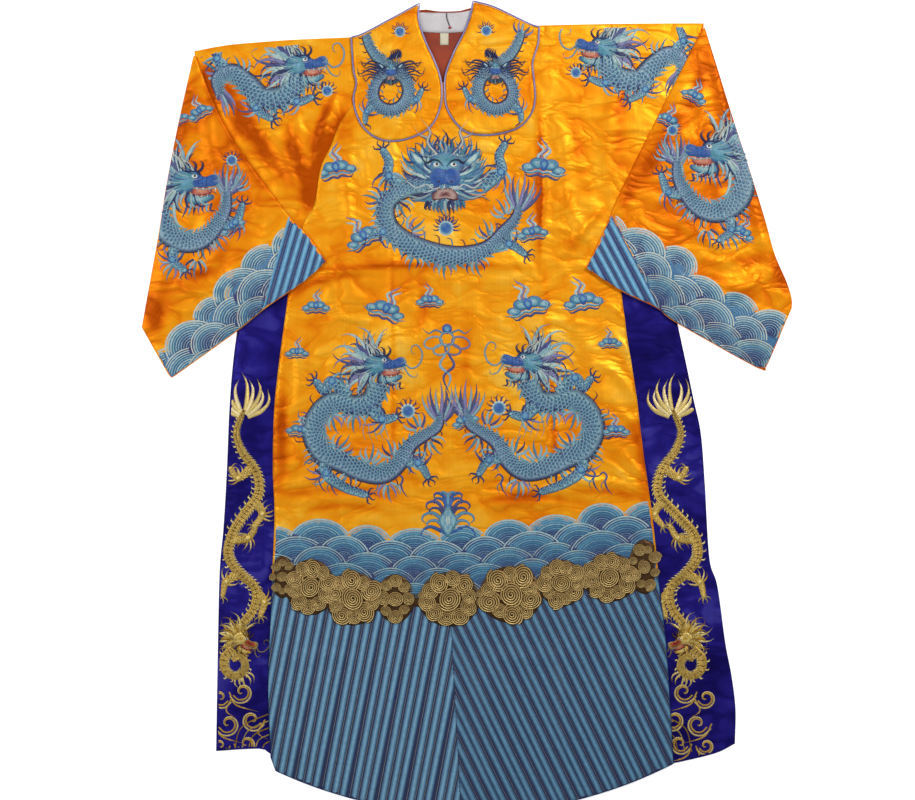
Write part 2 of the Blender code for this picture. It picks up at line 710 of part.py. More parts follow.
def make_collar_lobe(side, collection):
    cx, cy, mid_radius, half_width, rise = LOBE_COIL[side]

    def thickness_at(x, y):
        off_centre = abs(math.hypot(x - cx, y - cy) - mid_radius) / half_width
        return COLLAR_WALL + rise * ease(1 - off_centre)

    bm = flat_sheet(lobe_outline(side), COLLAR_CELL)
    bmesh.ops.translate(bm, verts=bm.verts[:], vec=(0, 0, ON_FRONT_HIGH))
    raise_wall(bm, thickness_at)
    object_from(bm, f"collar_{side}", "orange_satin", collection)


def make_collar_binding(side, collection):
    outline = lobe_outline(side)
    middle = offset_run(outline, -(BINDING_RADIUS + SEAM_GAP), signed_area(outline) > 0, closed=True)
    height = ON_FRONT_HIGH + BINDING_RADIUS
    route = [(x, y, height) for x, y in middle]
    tube(f"collar_binding_{side}", route, BINDING_RADIUS, True, "lilac_binding", collection)


def make_cloud_band(collection):
    def thickness_at(x, y):
        dome = max(1 - ((x - cx) / hw) ** 2 - ((y - cy) / hh) ** 2 for cx, cy, hw, hh in CLOUDS)
        return CLOUD_WALL + CLOUD_DOME * math.sqrt(max(0.0, dome))

    bm = flat_sheet(cloud_outline(), CLOUD_CELL)
    bmesh.ops.translate(bm, verts=bm.verts[:], vec=(0, 0, ON_FRONT_LOW))
    raise_wall(bm, thickness_at)
    object_from(bm, "gold_cloud_band", "gold_thread", collection)


def make_neck_lining(collection):
    outline = join(smooth(LINING_TOP), smooth(LINING_FOOT))
    flat_plate("neck_lining", outline, FRONT_LOW, LINING_WALL, "white_lining", collection)


def make_neck_tab(collection):
    width, length, thickness = TAB_SIZE
    bpy.ops.mesh.primitive_cube_add(
        size=1, location=(*TAB_CENTRE, FRONT_LOW + thickness / 2), scale=(width, length, thickness)
    )
    tab = bpy.context.active_object
    bpy.ops.object.transform_apply(location=False, rotation=False, scale=True)
    tab.name = "neck_tab"
    tab.data.materials.append(cloth_material("neck_tab", "cream_tab"))
    for owner in list(tab.users_collection):
        owner.objects.unlink(tab)
    collection.objects.link(tab)


def make_tie(collection):
    top = FRONT_LOW + LINING_WALL + SEAM_GAP
    route = [(x, y, top + CORD_RADIUS) for x, y in smooth(CORD_ROUTE, 0.003)]
    tube("tie_cord", route, CORD_RADIUS, False, "dark_cord", collection)
    bm = bmesh.new()
    bmesh.ops.create_uvsphere(bm, u_segments=12, v_segments=8, radius=KNOT_RADIUS)
    bmesh.ops.scale(bm, verts=bm.verts[:], vec=(1.0, 1.0, 0.7))
    bmesh.ops.translate(bm, verts=bm.verts[:], vec=(*KNOT_CENTRE, top + KNOT_RADIUS * 0.7))
    object_from(bm, "tie_knot", "red_knot", collection)


def main():
    clear_scene()
    robe = bpy.data.collections.new("chinese_dragon_robe")
    bpy.context.scene.collection.children.link(robe)
    make_back(robe)
    make_under_front(robe)
    make_front(robe)
    make_cloud_band(robe)
    make_neck_lining(robe)
    make_neck_tab(robe)
    make_tie(robe)
    for side in ("left", "right"):
        make_side_panel(side, robe)
        make_sleeve(side, robe)
        make_collar_lobe(side, robe)
        make_collar_binding(side, robe)


main()
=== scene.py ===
"""Looks of a Chinese opera dragon robe, laid flat on its back: satin, silk floss and couched gold thread.

Places are in metres in the robe's own frame, X across, Y towards the collar and Z up, or, through at(), in
pixels of the 915 x 800 photograph, one of which is 1.76 mm on the cloth. Left and right are the viewer's.
"""

import math

import bmesh
import bpy
import numpy as np
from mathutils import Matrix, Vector, geometry, noise
from mathutils.bvhtree import BVHTree


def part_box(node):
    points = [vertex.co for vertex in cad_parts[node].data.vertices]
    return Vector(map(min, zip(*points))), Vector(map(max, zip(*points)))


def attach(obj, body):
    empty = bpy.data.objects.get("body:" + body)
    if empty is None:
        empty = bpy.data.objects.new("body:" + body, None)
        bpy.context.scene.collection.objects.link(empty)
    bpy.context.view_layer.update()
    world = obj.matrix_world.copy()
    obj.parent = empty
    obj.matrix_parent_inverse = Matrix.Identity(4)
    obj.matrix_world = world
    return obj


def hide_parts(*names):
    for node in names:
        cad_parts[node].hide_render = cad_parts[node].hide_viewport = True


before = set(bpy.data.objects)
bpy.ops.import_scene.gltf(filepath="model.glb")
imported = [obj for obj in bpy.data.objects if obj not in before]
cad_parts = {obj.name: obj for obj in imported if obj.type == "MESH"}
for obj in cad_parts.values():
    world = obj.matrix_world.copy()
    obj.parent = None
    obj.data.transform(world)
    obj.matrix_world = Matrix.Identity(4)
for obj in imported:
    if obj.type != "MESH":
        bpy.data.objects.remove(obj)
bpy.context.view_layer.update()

PIXEL = 0.00176
CENTRE_PIXEL = (467.6, 407.0)
IMAGE_CENTRE = (457.5, 400.0)
IMAGE_WIDTH = 915
MM = 0.001

# Cloth: walls as in the solids, and the spacing of the points on each sheet
FRONT_WALL = 0.0018
UNDER_WALL = 0.0016
BACK_WALL = 0.0016
SLEEVE_WALL = 0.0016
COLLAR_WALL = 0.0018
LINING_WALL = 0.0012
FRONT_CELL = 0.006
SLEEVE_CELL = 0.0058
PANEL_CELL = 0.006
BACK_CELL = 0.014
COLLAR_CELL = 0.0042
SHOULDER_CURL = 0.0025
SLEEVE_FOLD = 0.0065
SIDE_SEAM_INSET = 0.02
SEAM_GAP = 0.0003
BINDING_RADIUS = 0.0015
ON_FRONT_HIGH = 0.0059
MERGE = 0.0012
CREASE_GAIN = 1.7
LINING_HIGH = 0.0031
TAB_HIGH = 0.0029
TAB_SIZE = (0.015, 0.021, 0.001)
TAB_CENTRE = (-0.041, 0.648)
CORD_RADIUS = 0.0008
CORD_ROUTE = [(-0.037, 0.693), (-0.0365, 0.685), (-0.034, 0.677), (-0.032, 0.6712)]
KNOT_CENTRE = (-0.031, 0.668)
KNOT_RADIUS = 0.0024

# A stitch's rim lies this far under the cloth's face, and the waves' arcs are this flat and this far apart
SUNK = -0.25 * MM
SQUASH = 0.88
ARC_SPACING = 0.0043

# Threads: this over their spacing is the scale of a Wave texture, and they stand this high
LINES = math.tau / 20
FINE = 0.0003

# A staggered grid's rows are this much closer than its columns
ROW_RATIO = 0.866

# The paper floor, and how far it lies under the robe
FLOOR_HALF = 4
FLOOR_DROP = 0.0003


def line(*values):
    """Places on the robe from X and Y by turns, in millimetres."""
    return [(x / 1000, y / 1000) for x, y in zip(values[::2], values[1::2])]


# The grid on which the heights of the solids are read and softened
GRID = 0.004
GRID_X = np.arange(-0.6, 0.6001, GRID)
GRID_Y = np.arange(-0.74, 0.7401, GRID)
GRID_SHAPE = (len(GRID_Y), len(GRID_X))

# Outlines of the solids, on the same runs as their source
SHOULDER = {
    "left": line(-198, 648, -296, 644, -355, 640, -423, 634, -481, 623.5),
    "right": line(112, 668, 242, 671, 367, 672, 416, 672),
}
WING = {
    "left": line(-481, 623.5, -462, 505, -409, 338, -315, 205),
    "right": line(416, 672, 400, 549, 347, 382, 270, 208),
}
SIDE = {
    "left": line(-315, 205, -333, 70, -341, -11, -343, -112, -340, -193, -345, -315, -352, -488, -347, -617),
    "right": line(
        270, 208, 282, 115, 296, 29, 310, -83, 325, -190, 339, -322, 350, -415, 356, -505, 363, -628,
    ),
}
HEM_CORNER = (-0.338, -0.641)
HEM_LOWEST = (0.0, -0.716)
BACK_HEM_RISE = 0.006
BACK_NECK = line(100, 668, 45, 694, 12, 704, -13, 698, -50, 697, -86, 699, -135, 672, -185, 648)
FRONT_NECK_TOP = line(18, 700, 45, 690, 112, 668)
FRONT_NECKLINE = line(-185, 556, -100, 560, -60, 566, -43, 572, -30, 588, -16, 622, 3, 660, 18, 700)
LAPEL = line(-315, 205, -305, 262, -290, 322, -270, 356, -259, 419, -240, 461, -223, 502, -185, 556)
UNDER_NECK = line(-198, 648, -135, 674, -98, 694)
UNDER_NECKLINE = line(-98, 694, -96, 681, -84, 643, -70, 612, -60, 583)
UNDER_HIDDEN_EDGE = line(-60, 583, -90, 500, -150, 420, -185, 330, -240, 262)
UNDER_WING = line(-357, 262, -409, 338, -462, 505, -481, 623.5)
PANEL_OUTER = {
    "left": line(
        -396, 198, -406, 134, -414, 70, -420, -11, -424, -111, -430, -213, -437, -297, -441, -488, -443, -606,
    ),
    "right": line(
        358, 200, 383, 86, 398, 14, 411, -47, 418, -136, 426, -266, 440, -315, 454, -415, 465, -473,
        472, -531, 471, -593,
    ),
}
PANEL_BOTTOM = {
    "left": line(-443, -606, -367, -602, -349, -610),
    "right": line(471, -593, 436, -610, 365, -627),
}
SLEEVE_OUTER = {
    "left": line(-481, 623.5, -511, 489, -531, 387, -546, 294, -572, 150, -572, 137),
    "right": line(416, 672, 455, 546, 490, 439, 523, 333, 541, 269, 562, 220, 571, 190, 571, 174),
}
SLEEVE_END = {
    "left": line(-572, 137, -527, 57, -521, 51),
    "right": line(571, 174, 530, 78, 523, 68),
}
SLEEVE_INNER = {
    "left": line(-481, 623.5, -451, 547, -415, 475, -358, 394, -314, 336, -280, 301, -248, 255),
    "right": line(416, 672, 378, 597, 335, 512, 267, 375, 250, 333, 224, 277, 207, 244),
}
CUFF = {
    "left": line(-248, 255, -285.5, 221, -352, 176, -409, 131, -521, 51),
    "right": line(207, 244, 270, 204, 335, 173, 366, 149, 510, 69, 523, 68),
}
LOBE_TOP = {
    "left": line(-203, 649, -182, 656, -135, 681, -87, 707),
    "right": line(124, 667, 105, 674, 46.5, 702, 11, 712),
}
LOBE_ROUND = {
    "left": line(
        -87, 707, -88, 681, -76, 643, -62, 613, -51, 584, -47, 558, -49, 532, -60, 503, -78.5, 485, -112, 472,
        -142, 470, -168, 480, -189, 504, -199, 540, -194, 570, -199, 594, -203, 649,
    ),
    "right": line(
        11, 712, 7, 690, -4, 660, -23, 622, -37, 584, -38, 551, -35, 528, -22, 504, -1, 485, 30, 480, 63, 484,
        91, 494.5, 110, 516, 117, 542, 115, 575, 112.5, 605.5, 122, 639, 124, 667,
    ),
}
LINING_TOP = line(-94, 695, -50, 694, -13, 695, 12.5, 701)
LINING_FOOT = line(1.5, 661, -40, 659, -88, 661)
CLOUDS = [
    (-0.326, -0.299, 0.022, 0.037), (-0.276, -0.317, 0.043, 0.049), (-0.202, -0.337, 0.048, 0.047),
    (-0.127, -0.337, 0.033, 0.043), (-0.032, -0.338, 0.054, 0.048), (0.076, -0.33, 0.055, 0.05),
    (0.165, -0.31, 0.041, 0.041), (0.25, -0.3, 0.047, 0.043), (0.311, -0.281, 0.028, 0.048),
]
CLOUD_ENDS = (-0.339, 0.329)
BAND_LINE = [(262, 577), (310, 587), (353, 598), (450, 599), (505, 598), (560, 583), (610, 577), (700, 563)]
CLOUD_BASE_HALF = 0.014

# Creases laid into the cloth: X and Y of the start, middle and end in photograph pixels, then the height
# and the half widths on the left and right side, from start to end, in millimetres. A trough's is negative.
FRONT_CREASES = [
    (393, 120, 394, 260, 393, 515, 1.6, 3, 9), (541, 262, 549, 400, 561, 512, 1.6, 9, 3),
    (537, 100, 541, 180, 538, 262, 2.6, 12, 3), (545, 112, 549, 180, 546, 240, -1.2, 6, 6),
    (330, 268, 430, 261, 540, 266, 1.9, 4, 9), (286, 292, 318, 274, 384, 267, 1.6, 4, 10),
    (549, 228, 572, 232, 594, 244, 2.2, 6, 6), (603, 207, 586, 226, 556, 262, 2.4, 7, 7),
    (560, 180, 575, 215, 600, 262, 1.5, 8, 8), (556, 110, 566, 170, 560, 215, 2.0, 12, 9),
    (584, 104, 590, 150, 604, 196, -1.6, 14, 12), (625, 60, 610, 120, 606, 190, 1.8, 14, 12),
    (352, 140, 347, 190, 356, 250, 1.8, 8, 10), (330, 150, 326, 200, 338, 255, -1.3, 9, 9),
    (372, 120, 366, 170, 372, 240, 1.2, 7, 7), (302, 232, 322, 262, 336, 320, 1.6, 9, 8),
    (288, 330, 300, 372, 292, 420, 1.8, 9, 9), (281, 400, 298, 440, 286, 486, 1.7, 10, 8),
    (288, 486, 330, 480, 384, 491, 1.9, 6, 8), (296, 504, 345, 497, 398, 507, 1.9, 6, 8),
    (318, 494, 350, 490, 372, 497, -1.2, 5, 5), (402, 499, 438, 507, 486, 498, 1.7, 6, 7),
    (404, 480, 430, 474, 462, 484, 1.2, 6, 6), (474, 512, 526, 502, 584, 512, 1.8, 6, 8),
    (500, 494, 540, 489, 580, 496, 1.5, 6, 6), (560, 487, 604, 482, 642, 494, 1.8, 7, 7),
    (598, 300, 624, 316, 641, 345, 2.0, 7, 8), (604, 328, 628, 351, 643, 386, 2.0, 7, 8),
    (596, 362, 622, 380, 645, 416, 1.9, 7, 8), (612, 404, 632, 424, 645, 455, 1.7, 7, 7),
    (608, 440, 630, 462, 644, 480, 1.5, 7, 7), (430, 272, 470, 282, 530, 276, 1.0, 6, 8),
    (405, 300, 420, 330, 412, 368, 1.1, 7, 7), (480, 290, 474, 320, 486, 350, 1.1, 7, 7),
    (452, 330, 456, 400, 450, 476, 1.2, 8, 8), (340, 285, 365, 300, 400, 296, 1.1, 6, 7),
    (520, 330, 560, 322, 604, 326, 1.3, 7, 7), (322, 325, 350, 318, 384, 330, 1.2, 7, 7),
    (560, 262, 575, 300, 570, 345, 1.4, 8, 8), (400, 262, 404, 300, 396, 345, 1.0, 6, 6),
    (283, 630, 284, 700, 278, 770, 2.0, 14, 12), (345, 640, 350, 720, 342, 790, -1.5, 16, 16),
    (395, 620, 396, 700, 398, 798, 2.2, 7, 12), (440, 640, 436, 720, 440, 798, -1.2, 18, 16),
    (505, 640, 512, 720, 508, 798, 2.0, 18, 18), (560, 630, 563, 710, 568, 790, 2.2, 12, 7),
    (610, 640, 618, 720, 614, 780, -1.6, 16, 16), (285, 662, 325, 656, 365, 668, 1.3, 12, 12),
    (470, 650, 520, 660, 590, 648, 1.0, 14, 14),
]
UNDER_CREASES = [
    (337, 90, 328, 120, 316, 152, 3.0, 8, 12), (352, 98, 338, 140, 318, 190, 2.2, 9, 9),
    (215, 70, 222, 105, 250, 150, 2.6, 12, 10), (235, 100, 262, 128, 300, 146, 2.0, 10, 10),
    (262, 122, 284, 160, 296, 200, 1.8, 11, 9), (300, 100, 296, 140, 306, 186, 1.8, 9, 9),
    (245, 150, 268, 172, 290, 205, 1.4, 8, 8), (210, 60, 214, 84, 222, 104, -1.4, 8, 8),
]
SLEEVE_CREASES = {
    "left": [
        (198, 70, 184, 130, 166, 205, 2.4, 12, 9), (212, 84, 208, 130, 220, 178, 1.8, 10, 10),
        (222, 108, 240, 150, 262, 190, 2.0, 12, 10), (178, 150, 190, 190, 184, 236, 1.6, 9, 9),
        (160, 210, 164, 262, 152, 318, 2.0, 9, 10), (176, 280, 196, 292, 218, 284, 1.8, 8, 8),
        (162, 300, 180, 310, 206, 306, 1.5, 8, 8), (222, 190, 244, 205, 262, 212, 1.6, 8, 8),
        (228, 236, 212, 262, 186, 275, 1.5, 8, 8), (242, 250, 228, 290, 236, 318, 1.3, 9, 9),
        (290, 236, 270, 262, 262, 296, 1.2, 7, 7),
    ],
    "right": [
        (712, 42, 722, 100, 746, 170, 2.4, 10, 12), (700, 62, 702, 110, 690, 160, 1.8, 10, 10),
        (690, 80, 668, 124, 652, 168, 2.0, 10, 12), (726, 130, 716, 170, 724, 214, 1.6, 9, 9),
        (752, 190, 760, 232, 778, 290, 2.0, 10, 9), (742, 250, 722, 262, 700, 256, 1.8, 8, 8),
        (760, 276, 742, 288, 716, 280, 1.5, 8, 8), (690, 190, 668, 200, 646, 204, 1.6, 8, 8),
        (684, 214, 700, 236, 728, 246, 1.5, 8, 8), (668, 250, 676, 280, 668, 306, 1.2, 8, 8),
        (616, 236, 632, 262, 640, 290, 1.2, 7, 7),
    ],
}
PANEL_CREASES = {
    "left": [
        (246, 330, 241, 380, 245, 430, 1.6, 8, 8), (260, 370, 256, 440, 262, 520, -1.4, 9, 9),
        (232, 470, 240, 540, 234, 620, 1.3, 8, 8), (252, 560, 250, 640, 256, 720, 1.3, 8, 8),
        (226, 640, 236, 690, 228, 742, 1.2, 7, 7),
    ],
    "right": [
        (662, 330, 668, 380, 660, 430, 1.6, 8, 8), (680, 380, 690, 450, 684, 530, -1.4, 9, 9),
        (668, 480, 674, 560, 668, 640, 1.3, 8, 8), (700, 560, 706, 630, 714, 700, 1.3, 8, 8),
        (690, 650, 698, 700, 694, 752, 1.2, 7, 7),
    ],
}

# Painted shade in the valleys beside the heaviest folds, in the same form, with a strength up to 1 in place of a
# height
FRONT_VALLEYS = [
    (541, 104, 541, 180, 540, 262, 0.85, 3, 9), (392, 262, 393, 380, 393, 510, 0.35, 6, 4),
    (545, 262, 553, 400, 560, 510, 0.45, 4, 7), (300, 272, 420, 266, 541, 270, 0.45, 7, 4),
    (604, 204, 586, 226, 553, 268, 0.3, 12, 10), (556, 236, 574, 246, 598, 254, 0.2, 9, 9),
    (290, 300, 318, 282, 370, 274, 0.4, 8, 6), (352, 110, 342, 150, 350, 210, 0.4, 20, 16),
    (626, 320, 640, 350, 642, 400, 0.5, 9, 7), (600, 344, 622, 362, 638, 396, 0.35, 7, 7),
    (286, 496, 340, 490, 396, 500, 0.45, 7, 7), (300, 512, 350, 506, 392, 514, 0.4, 6, 6),
    (470, 505, 530, 497, 590, 504, 0.45, 7, 7), (560, 494, 604, 491, 640, 500, 0.4, 6, 6),
    (286, 380, 282, 430, 286, 480, 0.35, 10, 9), (640, 60, 622, 110, 616, 190, 0.35, 14, 12),
    (420, 262, 424, 300, 416, 340, 0.25, 9, 9), (470, 300, 466, 360, 470, 470, 0.25, 10, 10),
    (575, 110, 578, 150, 588, 200, 0.3, 14, 12), (310, 330, 306, 350, 312, 375, 0.3, 10, 10),
    (634, 410, 644, 460, 646, 510, 0.45, 26, 14), (286, 330, 281, 420, 279, 510, 0.3, 10, 18),
]
UNDER_VALLEYS = [
    (350, 100, 328, 160, 304, 222, 0.95, 7, 16), (336, 92, 322, 122, 316, 156, 0.7, 8, 9),
    (204, 62, 210, 82, 220, 102, 0.8, 12, 12), (228, 104, 256, 140, 296, 190, 0.6, 12, 16),
    (210, 70, 240, 110, 270, 150, 0.4, 14, 14), (280, 130, 300, 165, 306, 205, 0.5, 12, 10),
    (336, 120, 318, 160, 312, 215, 0.4, 34, 30), (300, 120, 290, 150, 300, 190, 0.3, 18, 18),
]
SLEEVE_VALLEYS = {
    "left": [
        (196, 70, 176, 140, 160, 210, 0.45, 16, 10), (228, 124, 250, 160, 286, 204, 0.4, 12, 12),
        (150, 290, 154, 316, 160, 334, 0.55, 14, 14), (176, 262, 196, 274, 220, 268, 0.4, 9, 9),
        (206, 70, 214, 100, 228, 126, 0.5, 10, 8), (178, 110, 170, 160, 160, 214, 0.35, 12, 12),
    ],
    "right": [
        (718, 60, 740, 140, 764, 220, 0.45, 10, 16), (690, 96, 664, 140, 640, 182, 0.4, 12, 12),
        (774, 250, 782, 276, 784, 296, 0.5, 14, 14), (726, 252, 744, 262, 764, 256, 0.4, 9, 9),
        (704, 60, 696, 90, 684, 118, 0.5, 10, 8), (636, 176, 628, 196, 620, 210, 0.4, 10, 10),
    ],
}

# Floss and thread colours, sRGB
INK = "#1B1A38"
NAVY = "#24306C"
DEEP = "#14244F"
PURPLE = "#4A4F88"
BRIGHT = "#2260AC"
MID = "#3A739F"
TEAL = "#4C8FA2"
SKY = "#67A5BD"
PALE = "#98BFC4"
MIST = "#BFD4CC"
CREAM = "#E4E4CE"
MAROON = "#641E22"
RED = "#B23A28"
CORAL = "#D98B6C"
WHITE = "#F2F1EA"
LILAC = "#8A86B4"
GOLD = "#D3A83C"
PALE_GOLD = "#E6D286"
OLD_GOLD = "#9A6E22"
DARK_GOLD = "#5A3A12"


def at(px, py):
    """A pixel of the photograph as a place on the robe, in metres."""
    return ((px - CENTRE_PIXEL[0]) * PIXEL, (CENTRE_PIXEL[1] - py) * PIXEL)


def spots_at(*pixels):
    return [at(*spot) for spot in pixels]


def linear(hex_colour):
    """An sRGB hex colour as linear red, green and blue."""
    channels = [int(hex_colour[k:k + 2], 16) / 255 for k in (1, 3, 5)]
    return [c / 12.92 if c <= 0.04045 else ((c + 0.055) / 1.055) ** 2.4 for c in channels]


# Camera, light and floor


def make_camera():
    """Straight above the robe, with the photograph's frame. A long lens keeps the flat cloth undistorted."""
    data = bpy.data.cameras.new("camera")
    data.lens = 85
    data.sensor_width = 36
    camera = bpy.data.objects.new("camera", data)
    x, y = at(*IMAGE_CENTRE)
    camera.location = (x, y, IMAGE_WIDTH * PIXEL * data.lens / data.sensor_width + 0.005)
    bpy.context.scene.collection.objects.link(camera)
    bpy.context.scene.camera = camera


def area_light(name, place, size, power, colour):
    data = bpy.data.lights.new(name, "AREA")
    data.shape = "RECTANGLE"
    data.size, data.size_y = size
    data.energy = power
    data.color = colour
    light = bpy.data.objects.new(name, data)
    light.location = place
    light.rotation_euler = (-Vector(place)).to_track_quat("-Z", "Y").to_euler()
    bpy.context.scene.collection.objects.link(light)


# Outlines


def smooth(points, step):
    """Points about one step apart on a smooth curve through the given ones."""
    knots = [Vector(p) for p in points]
    if len(knots) == 2:
        parts = max(1, round((knots[1] - knots[0]).length / step))
        return [tuple(knots[0].lerp(knots[1], k / parts)) for k in range(parts + 1)]
    knots = [knots[0] * 2 - knots[1], *knots, knots[-1] * 2 - knots[-2]]
    run = []
    for a, b, c, d in zip(knots, knots[1:], knots[2:], knots[3:]):
        parts = max(1, round((c - b).length / step))
        for k in range(parts):
            t = k / parts
            spot = (
                b * 2 + (c - a) * t
                + (a * 2 - b * 5 + c * 4 - d) * t**2
                + (b * 3 - a - c * 3 + d) * t**3
            ) / 2
            run.append((spot.x, spot.y))
    run.append(tuple(points[-1]))
    return run


def arc_through(start, middle, end, step):
    """Points on the circle through three places."""
    (ax, ay), (bx, by), (cx, cy) = start, middle, end
    d = 2 * (ax * (by - cy) + bx * (cy - ay) + cx * (ay - by))
    a2, b2, c2 = ax * ax + ay * ay, bx * bx + by * by, cx * cx + cy * cy
    ux = (a2 * (by - cy) + b2 * (cy - ay) + c2 * (ay - by)) / d
    uy = (a2 * (cx - bx) + b2 * (ax - cx) + c2 * (bx - ax)) / d
    radius = math.hypot(ax - ux, ay - uy)
    first = math.atan2(ay - uy, ax - ux)
    last = math.atan2(cy - uy, cx - ux)
    parts = round(abs(last - first) * radius / step)
    angles = [first + (last - first) * k / parts for k in range(parts + 1)]
    return [(ux + radius * math.cos(a), uy + radius * math.sin(a)) for a in angles]


def join(*runs):
    """One closed outline, turning left all the way round, from runs laid end to end."""
    outline = []
    for run in runs:
        for point in run:
            if not outline or math.dist(point, outline[-1]) > MERGE:
                outline.append(tuple(point))
    if math.dist(outline[0], outline[-1]) <= MERGE:
        outline.pop()
    return outline if signed_area(outline) > 0 else outline[::-1]


def shift(run, across, along=0.0):
    return [(x + across, y + along) for x, y in run]


def signed_area(outline):
    pairs = zip(outline, [*outline[1:], outline[0]])
    return sum(ax * by - bx * ay for (ax, ay), (bx, by) in pairs) / 2


def inside(x, y, outline):
    """Which of many places lie within an outline."""
    hit = np.zeros(np.shape(x), bool)
    for (ax, ay), (bx, by) in zip(outline, [*outline[1:], outline[0]]):
        if ay != by:
            hit ^= ((ay > y) != (by > y)) & (x < (bx - ax) * (y - ay) / (by - ay) + ax)
    return hit


def nearest(x, y, run):
    """How far each of many places is from a run, and the closest place on it."""
    least = np.full(len(x), np.inf)
    spots = np.zeros((len(x), 2))
    for (ax, ay), (bx, by) in zip(run, run[1:]):
        dx, dy = bx - ax, by - ay
        t = np.clip(((x - ax) * dx + (y - ay) * dy) / max(dx * dx + dy * dy, 1e-12), 0, 1)
        gap = np.hypot(x - ax - t * dx, y - ay - t * dy)
        closer = gap < least
        least = np.where(closer, gap, least)
        spots[closer] = np.column_stack([ax + t * dx, ay + t * dy])[closer]
    return least, spots


def offset_run(run, amount, closed=False):
    """The run moved to its left by an amount."""
    count = len(run)
    moved = []
    for k, (x, y) in enumerate(run):
        normals = []
        for first, second in ((k - 1, k), (k, k + 1)):
            if closed or (0 <= first and second < count):
                along = (Vector(run[second % count]) - Vector(run[first % count])).normalized()
                normals.append(Vector((-along.y, along.x)))
        normal = sum(normals, Vector((0, 0))).normalized()
        stretch = amount / max(0.4, normal.dot(normals[0]))
        moved.append((x + normal.x * stretch, y + normal.y * stretch))
    return moved


def front_outline(step):
    hem = arc_through(SIDE["right"][-1], HEM_LOWEST, HEM_CORNER, step)
    return join(
        smooth(FRONT_NECK_TOP, step), smooth(SHOULDER["right"], step), smooth(WING["right"], step),
        smooth(SIDE["right"], step), hem, smooth(SIDE["left"], step)[::-1], smooth(LAPEL, step),
        smooth(FRONT_NECKLINE, step),
    )


def under_front_outline(step):
    return join(
        smooth(UNDER_NECK, step), smooth(UNDER_NECKLINE, step), smooth(UNDER_HIDDEN_EDGE, step),
        smooth([UNDER_HIDDEN_EDGE[-1], UNDER_WING[0]], step), smooth(UNDER_WING, step),
        smooth(SHOULDER["left"], step)[::-1],
    )


def back_outline(step):
    left_edge = shift(smooth(WING["left"] + SIDE["left"][1:], step), SIDE_SEAM_INSET)
    right_edge = shift(smooth(WING["right"] + SIDE["right"][1:], step), -SIDE_SEAM_INSET)
    low_left = (HEM_CORNER[0] + SIDE_SEAM_INSET, HEM_CORNER[1] + BACK_HEM_RISE)
    lowest = (HEM_LOWEST[0], HEM_LOWEST[1] + BACK_HEM_RISE)
    hem = arc_through(right_edge[-1], lowest, low_left, step)
    skip = round(0.056 / step)
    left_shoulder = smooth(shift(SHOULDER["left"][1:-1], 0.0, -0.002), step)
    right_shoulder = smooth(shift(SHOULDER["right"][1:-1], 0.0, -0.002), step)
    return join(
        smooth(BACK_NECK, step), left_shoulder, left_edge[skip:], hem[::-1],
        right_edge[::-1][:-skip], right_shoulder[::-1],
    )


def panel_outline(side, step):
    inward = SIDE_SEAM_INSET - SEAM_GAP
    seam = shift(smooth(SIDE[side], step), inward if side == "left" else -inward)
    bottom = smooth([*PANEL_BOTTOM[side], seam[-1]], step)
    top = smooth([seam[0], PANEL_OUTER[side][0]], step)
    return join(smooth(PANEL_OUTER[side], step), bottom, seam[::-1], top)


def lobe_outline(side, step):
    return join(smooth(LOBE_TOP[side], step), smooth(LOBE_ROUND[side], step))


def sleeve_fold_line(side, step):
    """The folded edges, from the cuff's outer end up to the shoulder and down to its inner end."""
    outer = [*smooth(SLEEVE_OUTER[side], step), *smooth(SLEEVE_END[side], step)[1:]]
    return [*outer[::-1], *smooth(SLEEVE_INNER[side], step)[1:]]


def sleeve_outline(side, step):
    return join(sleeve_fold_line(side, step), smooth(CUFF[side], step))


def cloud_outline(step):
    """The scalloped edge of the cloud band, the farthest cloud's edge at each step across the front."""
    start, end = CLOUD_ENDS
    parts = round((end - start) / step)
    upper, lower = [], []
    for k in range(parts + 1):
        x = start + (end - start) * k / parts
        weights = [math.exp(-((x - cx) / 0.05) ** 2) for cx, _, _, _ in CLOUDS]
        middle = sum(w * cloud[1] for w, cloud in zip(weights, CLOUDS)) / sum(weights)
        tops, bottoms = [middle + CLOUD_BASE_HALF], [middle - CLOUD_BASE_HALF]
        for cx, cy, half_width, half_height in CLOUDS:
            reach = 1 - ((x - cx) / half_width) ** 2
            if reach > 0:
                tops.append(cy + half_height * math.sqrt(reach))
                bottoms.append(cy - half_height * math.sqrt(reach))
        upper.append((x, max(tops)))
        lower.append((x, min(bottoms)))
    return join(upper, lower[::-1])


# Heights read from the solids, so that each cloth lies on its solid's form


def tree_of(node):
    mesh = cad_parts[node].data
    return BVHTree.FromPolygons([v.co for v in mesh.vertices], [p.vertices for p in mesh.polygons])


def cast(node, from_above=True):
    """The height of a solid over the grid, from above or below, and NaN beside it."""
    heights = np.full(GRID_SHAPE, np.nan)
    tree = tree_of(node)
    low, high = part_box(node)
    start, down = (1.0, -1.0) if from_above else (-1.0, 1.0)
    for row in np.flatnonzero((GRID_Y >= low.y) & (GRID_Y <= high.y)):
        for column in np.flatnonzero((GRID_X >= low.x) & (GRID_X <= high.x)):
            hit = tree.ray_cast(Vector((GRID_X[column], GRID_Y[row], start)), Vector((0, 0, down)))[0]
            if hit is not None:
                heights[row, column] = hit.z
    return heights


